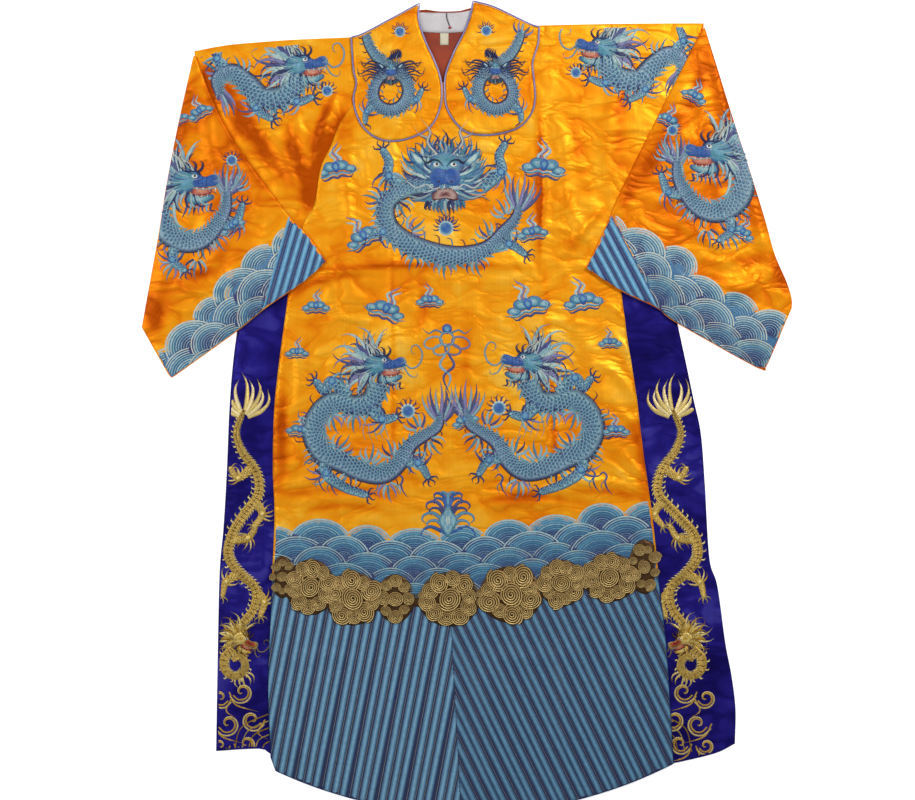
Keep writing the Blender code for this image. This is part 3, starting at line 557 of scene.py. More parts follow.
def carried_out(heights, cells=12):
    """The heights carried past the cloth's edge, so that softening doesn't pull the edge down."""
    filled = heights.copy()
    for _ in range(cells):
        padded = np.pad(filled, 1, constant_values=np.nan)
        around = np.stack([padded[1:-1, :-2], padded[1:-1, 2:], padded[:-2, 1:-1], padded[2:, 1:-1]])
        known = ~np.isnan(around)
        count = known.sum(0)
        grow = np.isnan(filled) & (count > 0)
        filled[grow] = np.where(known, around, 0).sum(0)[grow] / count[grow]
    return np.where(np.isnan(filled), np.nanmean(heights), filled)


def soften(field, reach):
    radius = max(1, round(3 * reach / GRID))
    taps = np.exp(-0.5 * (np.arange(-radius, radius + 1) * GRID / reach) ** 2)
    taps /= taps.sum()
    for axis in (0, 1):
        field = np.apply_along_axis(lambda line: np.convolve(line, taps, mode="same"), axis, field)
    return field


def sample(field, x, y):
    """The field at many places, between its grid points."""
    column = np.clip((x - GRID_X[0]) / GRID, 0, len(GRID_X) - 1.001)
    row = np.clip((y - GRID_Y[0]) / GRID, 0, len(GRID_Y) - 1.001)
    c, r = column.astype(int), row.astype(int)
    u, v = column - c, row - r
    low = field[r, c] * (1 - u) + field[r, c + 1] * u
    high = field[r + 1, c] * (1 - u) + field[r + 1, c + 1] * u
    return low * (1 - v) + high * v


def calm_field(*nodes):
    """0 under and close beside other pieces, so that no crease lifts into them, and 1 away from them."""
    covered = np.zeros(GRID_SHAPE)
    for node in nodes:
        covered = np.maximum(covered, ~np.isnan(cast(node)))
    near = soften(covered, 0.008)
    return 1 - np.clip(near * 2.6, 0, 1)


def crease_heights(x, y, creases):
    """The sum of the listed creases at many places."""
    total = np.zeros(np.shape(x))
    for *pixels, height, left_width, right_width in creases:
        a, b, c = (np.array(at(*pixels[k:k + 2])) for k in (0, 2, 4))
        spots = [
            a * (1 - t) * (1 - 2 * t) + b * 4 * t * (1 - t) + c * t * (2 * t - 1)
            for t in np.linspace(0, 1, 13)
        ]
        reach = 3.2 * max(left_width, right_width) * MM
        low, high = np.min(spots, axis=0) - reach, np.max(spots, axis=0) + reach
        near = np.flatnonzero((x > low[0]) & (x < high[0]) & (y > low[1]) & (y < high[1]))
        if not len(near):
            continue
        nx, ny = x[near], y[near]
        least = np.full(len(near), np.inf)
        across, along = np.zeros(len(near)), np.zeros(len(near))
        for k, (p, q) in enumerate(zip(spots, spots[1:])):
            d = q - p
            length = np.hypot(*d)
            t = np.clip(((nx - p[0]) * d[0] + (ny - p[1]) * d[1]) / length**2, 0, 1)
            gap = np.hypot(nx - p[0] - t * d[0], ny - p[1] - t * d[1])
            side = np.sign((ny - p[1]) * d[0] - (nx - p[0]) * d[1])
            closer = gap < least
            least = np.where(closer, gap, least)
            across = np.where(closer, gap * side, across)
            along = np.where(closer, (k + t) / 12, along)
        width = np.where(across > 0, left_width, right_width) * MM
        ends = np.sin(np.pi * np.clip(along, 0.02, 0.98)) ** 0.7
        total[near] += height * MM * ends * np.exp(-((across / width) ** 2))
    return total


def crumple(x, y, size, height, seed):
    """Small soft ridges and hollows of handled satin."""
    values = []
    for a, b in zip(x, y):
        broad = noise.noise(Vector((a / size, b / size, seed)))
        ridge = 1 - abs(noise.noise(Vector((a * 1.9 / size, b * 1.9 / size, seed + 7)))) * 3
        values.append(broad + 0.5 * max(0.0, ridge) ** 2)
    return np.array(values) * height


def give_shade(piece, creases, base=0.0):
    """Painted shade in the valley of each heavy fold, from 0 to 1, added to an even painted shade of the given
    base. Here a crease's height is its strength.
    """
    spots = np.array([v.co for v in piece.data.vertices])
    strength = np.clip(base + crease_heights(spots[:, 0], spots[:, 1], creases) / MM, 0, 1)
    shade = piece.data.attributes.new("shade", "FLOAT", "POINT")
    shade.data.foreach_set("value", strength.astype(np.float32))


# Sheets


def flat_mesh(outline, cell):
    """Points and triangles over an outline: its own points first, then a staggered grid within it."""
    edge = np.array(outline)
    low, high = edge.min(0), edge.max(0)
    spots = []
    for k, y in enumerate(np.arange(low[1] + cell / 2, high[1], cell * ROW_RATIO)):
        for x in np.arange(low[0] + (k % 2) * cell / 2, high[0], cell):
            spots.append((x, y))
    spots = np.array(spots)
    keep = inside(*spots.T, outline)
    keep &= nearest(*spots.T, [*outline, outline[0]])[0] > 0.55 * cell
    points = [Vector(p) for p in [*outline, *map(tuple, spots[keep])]]
    ring = [(k, (k + 1) % len(outline)) for k in range(len(outline))]
    verts, _, faces, *_ = geometry.delaunay_2d_cdt(points, ring, [], 1, 1e-7)
    verts = np.array([tuple(v) for v in verts])
    faces = np.array(faces)
    a, b, c = (verts[faces[:, k]] for k in range(3))
    turn = (b[:, 0] - a[:, 0]) * (c[:, 1] - a[:, 1]) - (c[:, 0] - a[:, 0]) * (b[:, 1] - a[:, 1])
    faces[turn < 0] = faces[turn < 0][:, ::-1]
    return verts, faces


def new_piece(name, points, faces, finish, sharp=50):
    mesh = bpy.data.meshes.new(name)
    mesh.from_pydata([tuple(p) for p in points], [], faces)
    mesh.materials.append(finish)
    mesh.shade_smooth()
    mesh.set_sharp_from_angle(angle=math.radians(sharp))
    piece = bpy.data.objects.new(name, mesh)
    bpy.context.scene.collection.objects.link(piece)
    return piece


def give_wall(piece, wall):
    """The cloth's thickness, grown inwards from the face that shows."""
    modifier = piece.modifiers.new("wall", "SOLIDIFY")
    modifier.thickness = wall
    modifier.offset = -1


def give_map(piece, name, spots):
    """A UV map from a place for each point of the piece."""
    layer = piece.data.uv_layers.new(name=name)
    loops = np.array([loop.vertex_index for loop in piece.data.loops])
    layer.data.foreach_set("uv", spots[loops].astype(np.float32).ravel())


def give_weave(piece, turn=0.0):
    """A map in metres along and across the warp, turned with the cut of the piece."""
    x, y = np.array([v.co[:2] for v in piece.data.vertices]).T
    c, s = math.cos(turn), math.sin(turn)
    give_map(piece, "weave", np.column_stack([x * c + y * s, y * c - x * s]))


def cloth(name, outline, top_at, wall, finish, cell, rolled=None):
    """A sheet over an outline, rolled over and down to the surface along a fold where there is one."""
    spots, faces = flat_mesh(outline, cell)
    points = np.column_stack([spots, top_at(spots[:, 0], spots[:, 1])])
    faces = faces.tolist()
    if rolled:
        count = len(outline)
        on_roll = nearest(*np.array(outline).T, rolled)[0] < MERGE
        last = {k: k for k in np.flatnonzero(on_roll)}
        for turned in np.radians([22, 45, 68, 90]):
            ring = {}
            for k in last:
                x, y, z = points[k]
                ring[k] = len(points)
                rolled_spot = (x, y + (SHOULDER_CURL + wall) * math.sin(turned), z * math.cos(turned))
                points = np.vstack([points, rolled_spot])
            for k in last:
                after = (k + 1) % count
                if after in last:
                    faces.append([last[k], ring[k], ring[after], last[after]])
            last = ring
    piece = new_piece(name, points, faces, finish)
    give_weave(piece)
    give_wall(piece, wall)
    return piece


def sleeve(name, side, top_at, low_at, finish):
    """A flattened tube: two layers over one outline, with round folds along both edges and an open cuff."""
    radius = SLEEVE_FOLD / 2
    line = sleeve_fold_line(side, SLEEVE_CELL)
    fold = offset_run(line, radius if side == "right" else -radius)
    cuff = [fold[-1], *smooth(CUFF[side], SLEEVE_CELL)[1:-1], fold[0]]
    outline = [*fold, *cuff[1:-1]]
    count = len(fold)
    if signed_area(outline) < 0:
        outline = outline[::-1]
        fold_range = range(len(outline) - count, len(outline))
    else:
        fold_range = range(count)
    spots, faces = flat_mesh(outline, SLEEVE_CELL)
    top, low = top_at(spots[:, 0], spots[:, 1]), low_at(spots[:, 0], spots[:, 1])
    total = len(spots)
    points = [*np.column_stack([spots, top]), *np.column_stack([spots, low])]
    quads = [*faces.tolist(), *(faces[:, ::-1] + total).tolist()]
    edge = [Vector(outline[k]) for k in fold_range]
    outward = []
    for k in range(len(edge)):
        along = edge[min(k + 1, len(edge) - 1)] - edge[max(k - 1, 0)]
        outward.append(Vector((along.y, -along.x)).normalized())
    rings = [[k for k in fold_range]]
    for turned in np.radians([30, 60, 90, 120, 150]):
        ring = []
        for k, normal in zip(fold_range, outward):
            ring.append(len(points))
            out = radius * math.sin(turned)
            z = top[k] + (low[k] - top[k]) * (1 - math.cos(turned)) / 2
            points.append((spots[k][0] + normal.x * out, spots[k][1] + normal.y * out, z))
        rings.append(ring)
    rings.append([k + total for k in fold_range])
    for ring, after in zip(rings, rings[1:]):
        for k in range(len(ring) - 1):
            quads.append([ring[k], after[k], after[k + 1], ring[k + 1]])
    piece = new_piece(name, points, quads, finish)
    give_wall(piece, SLEEVE_WALL)
    return piece


class Host:
    """The top face of a cloth, on which embroidery is laid."""

    def __init__(self, piece):
        mesh = piece.data
        corners = [v.co for v in mesh.vertices]
        faces = [p.vertices for p in mesh.polygons if p.normal.z > 0.2]
        self.tree = BVHTree.FromPolygons(corners, faces)

    def height(self, x, y):
        hit = self.tree.ray_cast(Vector((x, y, 1.0)), Vector((0, 0, -1)))[0]
        if hit is None:
            hit = self.tree.find_nearest(Vector((x, y, 0.01)))[0]
        return hit.z


# Embroidery


class Work:
    """Stitches gathered into one mesh. Heights are above the cloth until the work is laid on it."""

    def __init__(self, host):
        self.host = host
        self.points, self.tints, self.spans, self.faces = [], [], [], []
        self.count = 0
        self.scales = []

    def add_rows(self, points, tints, spans, ring=False, capped=False):
        """Rows of points as faces. A ring joins its last column to its first, a cap closes the last row."""
        rows, columns = points.shape[:2]
        index = np.arange(rows * columns).reshape(rows, columns) + self.count
        if ring:
            index = np.column_stack([index, index[:, 0]])
        a, b, c, d = index[:-1, :-1], index[:-1, 1:], index[1:, 1:], index[1:, :-1]
        self.faces.extend(np.stack([a, b, c, d], -1).reshape(-1, 4).tolist())
        self.points.append(points.reshape(-1, 3))
        self.tints.append(tints.reshape(-1, 3))
        self.spans.append(spans.reshape(-1, 2))
        self.count += rows * columns
        if capped:
            self.points.append(points[-1].mean(0)[None])
            self.tints.append(tints[-1].mean(0)[None])
            self.spans.append(spans[-1].mean(0)[None])
            self.faces.extend([p, q, self.count] for p, q in zip(index[-1], index[-1][1:]))
            self.count += 1

    def cut(self, border):
        """Drops what lies outside a border and draws what crosses it back to it."""
        points = np.concatenate(self.points)
        out = ~inside(points[:, 0], points[:, 1], border)
        self.faces = [face for face in self.faces if not all(out[k] for k in face)]
        _, snapped = nearest(*points[out, :2].T, [*border, border[0]])
        points[out] = np.column_stack([snapped, np.full(len(snapped), SUNK)])
        self.points = [points]
        around = ((0.5, 0), (-0.5, 0), (0, 0.5), (0, -0.5))
        self.scales = [
            row for row in self.scales
            if all(inside(row[0] + i * row[-1], row[1] + j * row[-1], border) for i, j in around)
        ]

    def take(self, other):
        """Adds another gathering of stitches to this one."""
        self.faces.extend([k + self.count for k in face] for face in other.faces)
        self.points.extend(other.points)
        self.tints.extend(other.tints)
        self.spans.extend(other.spans)
        self.count += other.count

    def finish(self, name, material=None, sharp=75):
        """The stitches as one piece, laid on the cloth if there is one, without points that no face uses."""
        points = np.concatenate(self.points)
        used = np.zeros(len(points), bool)
        used[[k for face in self.faces for k in face]] = True
        renumber = np.cumsum(used) - 1
        faces = [[int(renumber[k]) for k in face] for face in self.faces]
        points = points[used]
        if self.host:
            points[:, 2] += [self.host.height(x, y) for x, y, _ in points]
        piece = new_piece(name, points, faces, material, sharp)
        tints = np.column_stack([np.concatenate(self.tints), np.ones(len(used))])[used]
        floss = piece.data.color_attributes.new("floss", "FLOAT_COLOR", "POINT")
        floss.data.foreach_set("color", tints.astype(np.float32).ravel())
        give_map(piece, "stitch", np.concatenate(self.spans)[used])
        return piece


def shades(names, count):
    """Colours spread evenly over a number of steps. Two names are the edges' colour and the middle's."""
    if len(names) == 2:
        names = (*names, names[0])
    colours = np.array([linear(name) for name in names])
    spots = np.linspace(0, len(names) - 1, count)
    return np.column_stack([np.interp(spots, range(len(names)), colours[:, k]) for k in range(3)])


def even_path(path, step, least=4):
    """A smooth path, with its points the same distance apart."""
    fine = np.array(smooth(path, 0.0015))
    lengths = np.concatenate([[0], np.cumsum(np.hypot(*np.diff(fine, axis=0).T))])
    parts = max(least, round(lengths[-1] / step))
    marks = np.linspace(0, lengths[-1], parts + 1)
    return np.column_stack([np.interp(marks, lengths, fine[:, k]) for k in (0, 1)]), marks


def sides_of(path):
    """The direction to the left of a path at each of its points."""
    along = np.gradient(path, axis=0)
    along /= np.maximum(np.hypot(along[:, 0], along[:, 1]), 1e-9)[:, None]
    return np.column_stack([-along[:, 1], along[:, 0]])


def stroke(work, path, widths, tints, tips=None, rise=0.7, lift=0.15, step=0.004, across=3):
    """A run of satin stitch along a path. Widths, rise and lift are in mm, tints go from left to right."""
    line, marks = even_path(path, step)
    left = sides_of(line)
    share = marks / marks[-1]
    width = np.interp(share, np.linspace(0, 1, len(widths)), widths) * MM
    v = np.linspace(1, -1, across)
    start = shades(tints, across)
    end = shades(tips or tints, across)
    colour = start[None] + (end - start)[None] * (share**1.3)[:, None, None]
    spots = line[:, None] + left[:, None] * (width / 2)[:, None, None] * v[None, :, None]
    dome = np.sqrt(np.maximum(0, 1 - v**2))
    height = (lift + rise * dome)[None] * MM * np.minimum(1, width / (1.2 * MM))[:, None]
    height[:, [0, -1]] = SUNK
    span = np.stack(np.broadcast_arrays(marks[:, None], v[None] * width[:, None] / 2), -1)
    work.add_rows(np.dstack([spots, height]), colour, span)


def patch(work, outline, tints, rise=0.9, lift=0.2, rings=5, step=0.003, hub=None):
    """A filled shape of stitches, domed from its rim to its middle. Tints go from the rim inwards."""
    closed = [*outline, outline[0]]
    line, marks = even_path(closed, step, 8)
    line, marks = line[:-1], marks[:-1]
    if signed_area([tuple(p) for p in line]) < 0:
        line = line[::-1]
    hub = np.array(hub) if hub is not None else line.mean(0)
    inward = np.linspace(0, 1, rings + 1)[:-1]
    spots = line[None] + (hub - line)[None] * inward[:, None, None]
    height = (lift + rise * np.sqrt(1 - (1 - inward) ** 2)) * MM
    height[0] = SUNK
    points = np.dstack([spots, np.broadcast_to(height[:, None], spots.shape[:2])])
    colour = np.broadcast_to(shades(tints, rings)[:, None], (*spots.shape[:2], 3))
    span = np.stack(np.broadcast_arrays(marks[None], inward[:, None] * 0.01), -1)
    work.add_rows(points, colour, span, ring=True, capped=True)


def oval(centre, half_width, half_height, turn=0.0, count=14):
    c, s = math.cos(turn), math.sin(turn)
    spots = []
    for k in range(count):
        x, y = half_width * math.cos(math.tau * k / count), half_height * math.sin(math.tau * k / count)
        spots.append((centre[0] + x * c - y * s, centre[1] + x * s + y * c))
    return spots


class Place:
    """Where a motif goes on a work, and its threads. It is drawn in photograph pixels, X right and Y up."""

    def __init__(self, work, px, py, size=1.0, turn=0.0, flip=False, thread=None):
        self.work = work
        self.thread = thread or BLUE_SET
        self.centre = at(px, py)
        self.size = size * PIXEL
        self.unit = size * PIXEL / MM
        self.cos, self.sin = math.cos(math.radians(turn)), math.sin(math.radians(turn))
        self.flip = -1 if flip else 1

    def __call__(self, *spots):
        out = []
        for x, y in spots:
            x *= self.flip
            out.append((
                self.centre[0] + (x * self.cos - y * self.sin) * self.size,
                self.centre[1] + (x * self.sin + y * self.cos) * self.size,
            ))
        return out

    def sew(self, spots, widths, tints, **more):
        stroke(self.work, self(*spots), widths, tints, **more)

    def fill(self, spots, tints, **more):
        patch(self.work, self(*spots), tints, **more)

    def disc(self, centre, half_width, half_height, tints, **more):
        rim = oval(self(centre)[0], half_width * self.size, half_height * self.size)
        patch(self.work, rim, tints, **more)


def mirrored(spots, side):
    return [(x * side, y) for x, y in spots]


def spiral(centre, start, end, turns, first, flip=False, squash=1.0, count=8):
    """A coil from one radius to another."""
    steps = max(6, round(turns * count))
    spots = []
    for k in range(steps + 1):
        radius = start + (end - start) * k / steps
        angle = math.radians(first) + math.tau * turns * k / steps * (-1 if flip else 1)
        spots.append((centre[0] + radius * math.cos(angle), centre[1] + radius * math.sin(angle) * squash))
    return spots


# Thread sets: outline, back, flank and belly of a dragon, its mane, flames and horns
BLUE_SET = {
    "back": [INK, NAVY, "#4E6E9A", "#5E90A6", "#6E9EAE", "#93B8BA", "#4A7890", INK],
    "back_tip": [INK, NAVY, PURPLE, "#6A78A6", "#7C8CB4", "#98A6C4", PURPLE, INK],
    "scale": ("#93B6BC", "#457FA0", "#1C2458"),
    "mane": [(NAVY, PURPLE), (MID, PALE), (INK, NAVY), (PURPLE, LILAC)],
    "fin": (NAVY, TEAL),
    "fin_tip": (TEAL, PALE),
    "skull": [NAVY, MID, TEAL, TEAL, SKY],
    "snout": [MID, "#1C50A0", "#1C50A0", BRIGHT],
    "jaw": [NAVY, TEAL, PALE],
    "horn": (MAROON, CREAM, PURPLE),
    "whisker": (MID, PALE),
    "limb": [INK, NAVY, MID, TEAL, PALE, TEAL, MAROON],
    "claw": (INK, NAVY),
    "tuft": [(INK, PURPLE), (PURPLE, LILAC, NAVY), (NAVY, PALE, INK)],
    "bar": (INK, NAVY),
    "edge": (MAROON, MAROON),
    "pearl": [WHITE, PALE, MID, BRIGHT, BRIGHT],
    "pearl_flame": (NAVY, PURPLE, MAROON),
}
GOLD_SET = {
    "back": [PALE_GOLD, GOLD, OLD_GOLD, DARK_GOLD, DARK_GOLD, OLD_GOLD, GOLD, PALE_GOLD],
    "back_tip": [PALE_GOLD, GOLD, OLD_GOLD, OLD_GOLD, OLD_GOLD, OLD_GOLD, GOLD, PALE_GOLD],
    "scale": (PALE_GOLD, GOLD, DARK_GOLD),
    "mane": [(OLD_GOLD, PALE_GOLD), (GOLD, PALE_GOLD), (OLD_GOLD, GOLD, DARK_GOLD)],
    "fin": (OLD_GOLD, PALE_GOLD, GOLD),
    "fin_tip": (PALE_GOLD, PALE_GOLD),
    "skull": [OLD_GOLD, PALE_GOLD, GOLD, PALE_GOLD, GOLD],
    "snout": [PALE_GOLD, OLD_GOLD, RED, "#8A2A1E"],
    "jaw": [OLD_GOLD, GOLD, PALE_GOLD],
    "horn": (OLD_GOLD, PALE_GOLD),
    "whisker": (OLD_GOLD, PALE_GOLD),
    "limb": [OLD_GOLD, GOLD, PALE_GOLD, GOLD, OLD_GOLD],
    "claw": (OLD_GOLD, PALE_GOLD),
    "tuft": [(OLD_GOLD, PALE_GOLD), (GOLD, PALE_GOLD, OLD_GOLD)],
    "bar": (DARK_GOLD, OLD_GOLD),
    "edge": (PALE_GOLD, PALE_GOLD),
    "pearl": [PALE_GOLD, GOLD, OLD_GOLD],
    "pearl_flame": (OLD_GOLD, PALE_GOLD),
}


def flames(place, root, heading, spread_angle, count, length, width, tint_sets, curl=0.25, lift=0.3):
    """A tuft of tapering locks from one root, as on a tail, a mane or a knee."""
    for k in range(count):
        share = k / max(1, count - 1) - 0.5
        angle = math.radians(heading + spread_angle * share)
        reach = length * (1 - 0.35 * abs(share) - 0.12 * (k % 2))
        bend = curl * reach * (1 if share > 0 else -1) * (0.4 + abs(share))
        c, s = math.cos(angle), math.sin(angle)
        base = (root[0] - s * share * width * 0.8, root[1] + c * share * width * 0.8)
        spots = [
            base,
            (base[0] + c * reach * 0.4 - s * bend * 0.6, base[1] + s * reach * 0.4 + c * bend * 0.6),
            (base[0] + c * reach * 0.75 - s * bend * 0.5, base[1] + s * reach * 0.75 + c * bend * 0.5),
            (base[0] + c * reach + s * bend * 0.5, base[1] + s * reach - c * bend * 0.5),
        ]
        girth = width * place.unit * 0.42
        tints = tint_sets[k % len(tint_sets)]
        place.sew(spots, [girth * 0.7, girth, girth * 0.6, 0.3], tints, lift=lift + 0.1 * (k % 2))


def claw(place, palm, heading, size):
    """A paw with four talons."""
    for k, offset in enumerate((-62, -22, 20, 60)):
        angle = math.radians(heading + offset)
        c, s = math.cos(angle), math.sin(angle)
        hook = 0.35 if offset > 0 else -0.35
        spots = [
            palm,
            (palm[0] + c * size * 0.5, palm[1] + s * size * 0.5),
            (palm[0] + c * size - s * hook * size * 0.2, palm[1] + s * size + c * hook * size * 0.2),
            (palm[0] + c * size * 1.25 + s * hook * size, palm[1] + s * size * 1.25 - c * hook * size),
        ]
        girth = size * place.unit * 0.26
        place.sew(spots, [girth, girth * 1.2, girth * 0.8, 0.3], place.thread["claw"], lift=0.5 + 0.05 * k)
    place.disc(palm, size * 0.32, size * 0.32, place.thread["jaw"], lift=0.7, rings=3)


def leg(place, spots, heading, girth, size=8.5):
    """A scaled limb from the body to its paw, with locks of hair behind the elbow."""
    thread = place.thread
    flames(place, spots[1], heading + 165, 110, 6, girth * 2.1, girth * 0.7, thread["mane"])
    width = girth * place.unit
    path = place(*spots)
    widths = [width * 1.3, width, width * 0.7]
    stroke(place.work, path, widths, thread["limb"][::place.flip], lift=0.35, rise=0.9, across=7)
    lay_scales(place.work, path, widths, place.flip, ((-0.3, 0.3), (0.0, 0.6)), 0.4, 0.5, (0.4, 0.8))
    elbow = [NAVY, BRIGHT, SKY] if thread is BLUE_SET else thread["jaw"]
    place.disc(spots[1], girth * 0.42, girth * 0.42, elbow, lift=1.5, rings=3)
    flames(
        place, spots[1], heading + 120, 70, 3, girth * 1.3, girth * 0.5, [thread["claw"], thread["fin"]],
        lift=1.2,
    )
    claw(place, spots[-1], heading, size)


def along_ribbon(path, widths):
    """Even spots along a ribbon, the length up to each, the direction to its left and half its width."""
    line, marks = even_path(path, 0.002)
    half = np.interp(marks / marks[-1], np.linspace(0, 1, len(widths)), widths) * MM / 2
    return line, marks, sides_of(line), half


def lay_scales(work, path, widths, fin_side, places, size, step, high=(0.4, 1.3)):
    """Rows of scales along a ribbon, each row shifted by half a scale."""
    line, marks, left, half = along_ribbon(path, widths)
    mark, row = 0.002, 0
    while mark < marks[-1] - 0.002:
        k = min(len(line) - 1, int(np.searchsorted(marks, mark)))
        heading = math.atan2(-left[k][0], left[k][1])
        for across in places[row % 2]:
            x, y = line[k] + left[k] * half[k] * across * fin_side
            lift = (high[0] + high[1] * math.sqrt(1 - across**2)) * MM
            work.scales.append((x, y, lift, heading, half[k] * size))
        mark += half[k] * step
        row += 1


def body(place, spine, girths, fin_side=1):
    """A long body: a shaded ribbon with scales along its back, bars along its belly and fins on its spine."""
    thread = place.thread
    path = place(*spine)
    widths = [g * place.unit for g in girths]
    turned = 1 if (fin_side > 0) == (place.flip > 0) else -1
    back, tips = thread["back"][::turned], thread["back_tip"][::turned]
    stroke(place.work, path, widths, back, tips, rise=1.3, lift=0.4, step=0.003, across=12)
    line, marks, left, half = along_ribbon(path, widths)
    left = left * turned
    along = np.gradient(line, axis=0)
    along /= np.hypot(along[:, 0], along[:, 1])[:, None]
    for side, tints in ((-1.0, thread["edge"]), (0.98, thread["bar"])):
        rim = line + left * half[:, None] * side
        stroke(place.work, rim[2:-2:5], [1.5, 1.5], tints, rise=0.5, lift=0.5, step=0.005)
    mark, row = 0.003, 0
    while mark < marks[-1] - 0.003:
        k = min(len(line) - 1, int(np.searchsorted(marks, mark)))
        here, ahead, side, girth = line[k], along[k], left[k], half[k]
        if row % 2 == 0:
            fin = girth * 0.66
            base = here + side * girth * 0.94
            tip = base + side * fin + ahead * fin * 0.8
            spots = [base - ahead * fin * 0.2, base * 0.6 + tip * 0.4 + side * fin * 0.15, tip]
            stroke(
                place.work, spots, [girth * 560, girth * 360, 0.25], thread["fin"], thread["fin_tip"],
                lift=0.2, step=0.0025,
            )
        belly = here - side * girth * 0.96
        inner = here - side * girth * 0.52 + ahead * girth * 0.16
        stroke(place.work, [belly, inner], [1.7, 1.2], thread["bar"], rise=0.3, lift=1.5, step=0.005)
        if row % 4 == 2:
            lick = here - side * girth * 1.75 - ahead * girth * 0.8
            curl = [belly, (belly + lick) / 2 - side * girth * 0.3 + ahead * girth * 0.2, lick]
            stroke(
                place.work, curl, [3.2, 3.4, 0.3], thread["edge"] if row % 8 == 2 else thread["fin"],
                lift=0.2,
            )
        mark += girth * 0.4
        row += 1
    lay_scales(
        place.work, path, widths, turned, ((-0.38, 0.0, 0.38, 0.74), (-0.19, 0.19, 0.56, 0.86)), 0.3, 0.36,
    )


def eye(place, centre, size, lift=2.0):
    place.disc(centre, size * 1.8, size * 1.2, [INK, WHITE, WHITE], lift=lift, rings=3)
    pupil = (centre[0] + size * 0.2, centre[1] + size * 0.2)
    place.disc(pupil, size * 0.85, size * 0.85, [INK, INK, "#3A1416"], lift=lift + 0.6, rings=3)


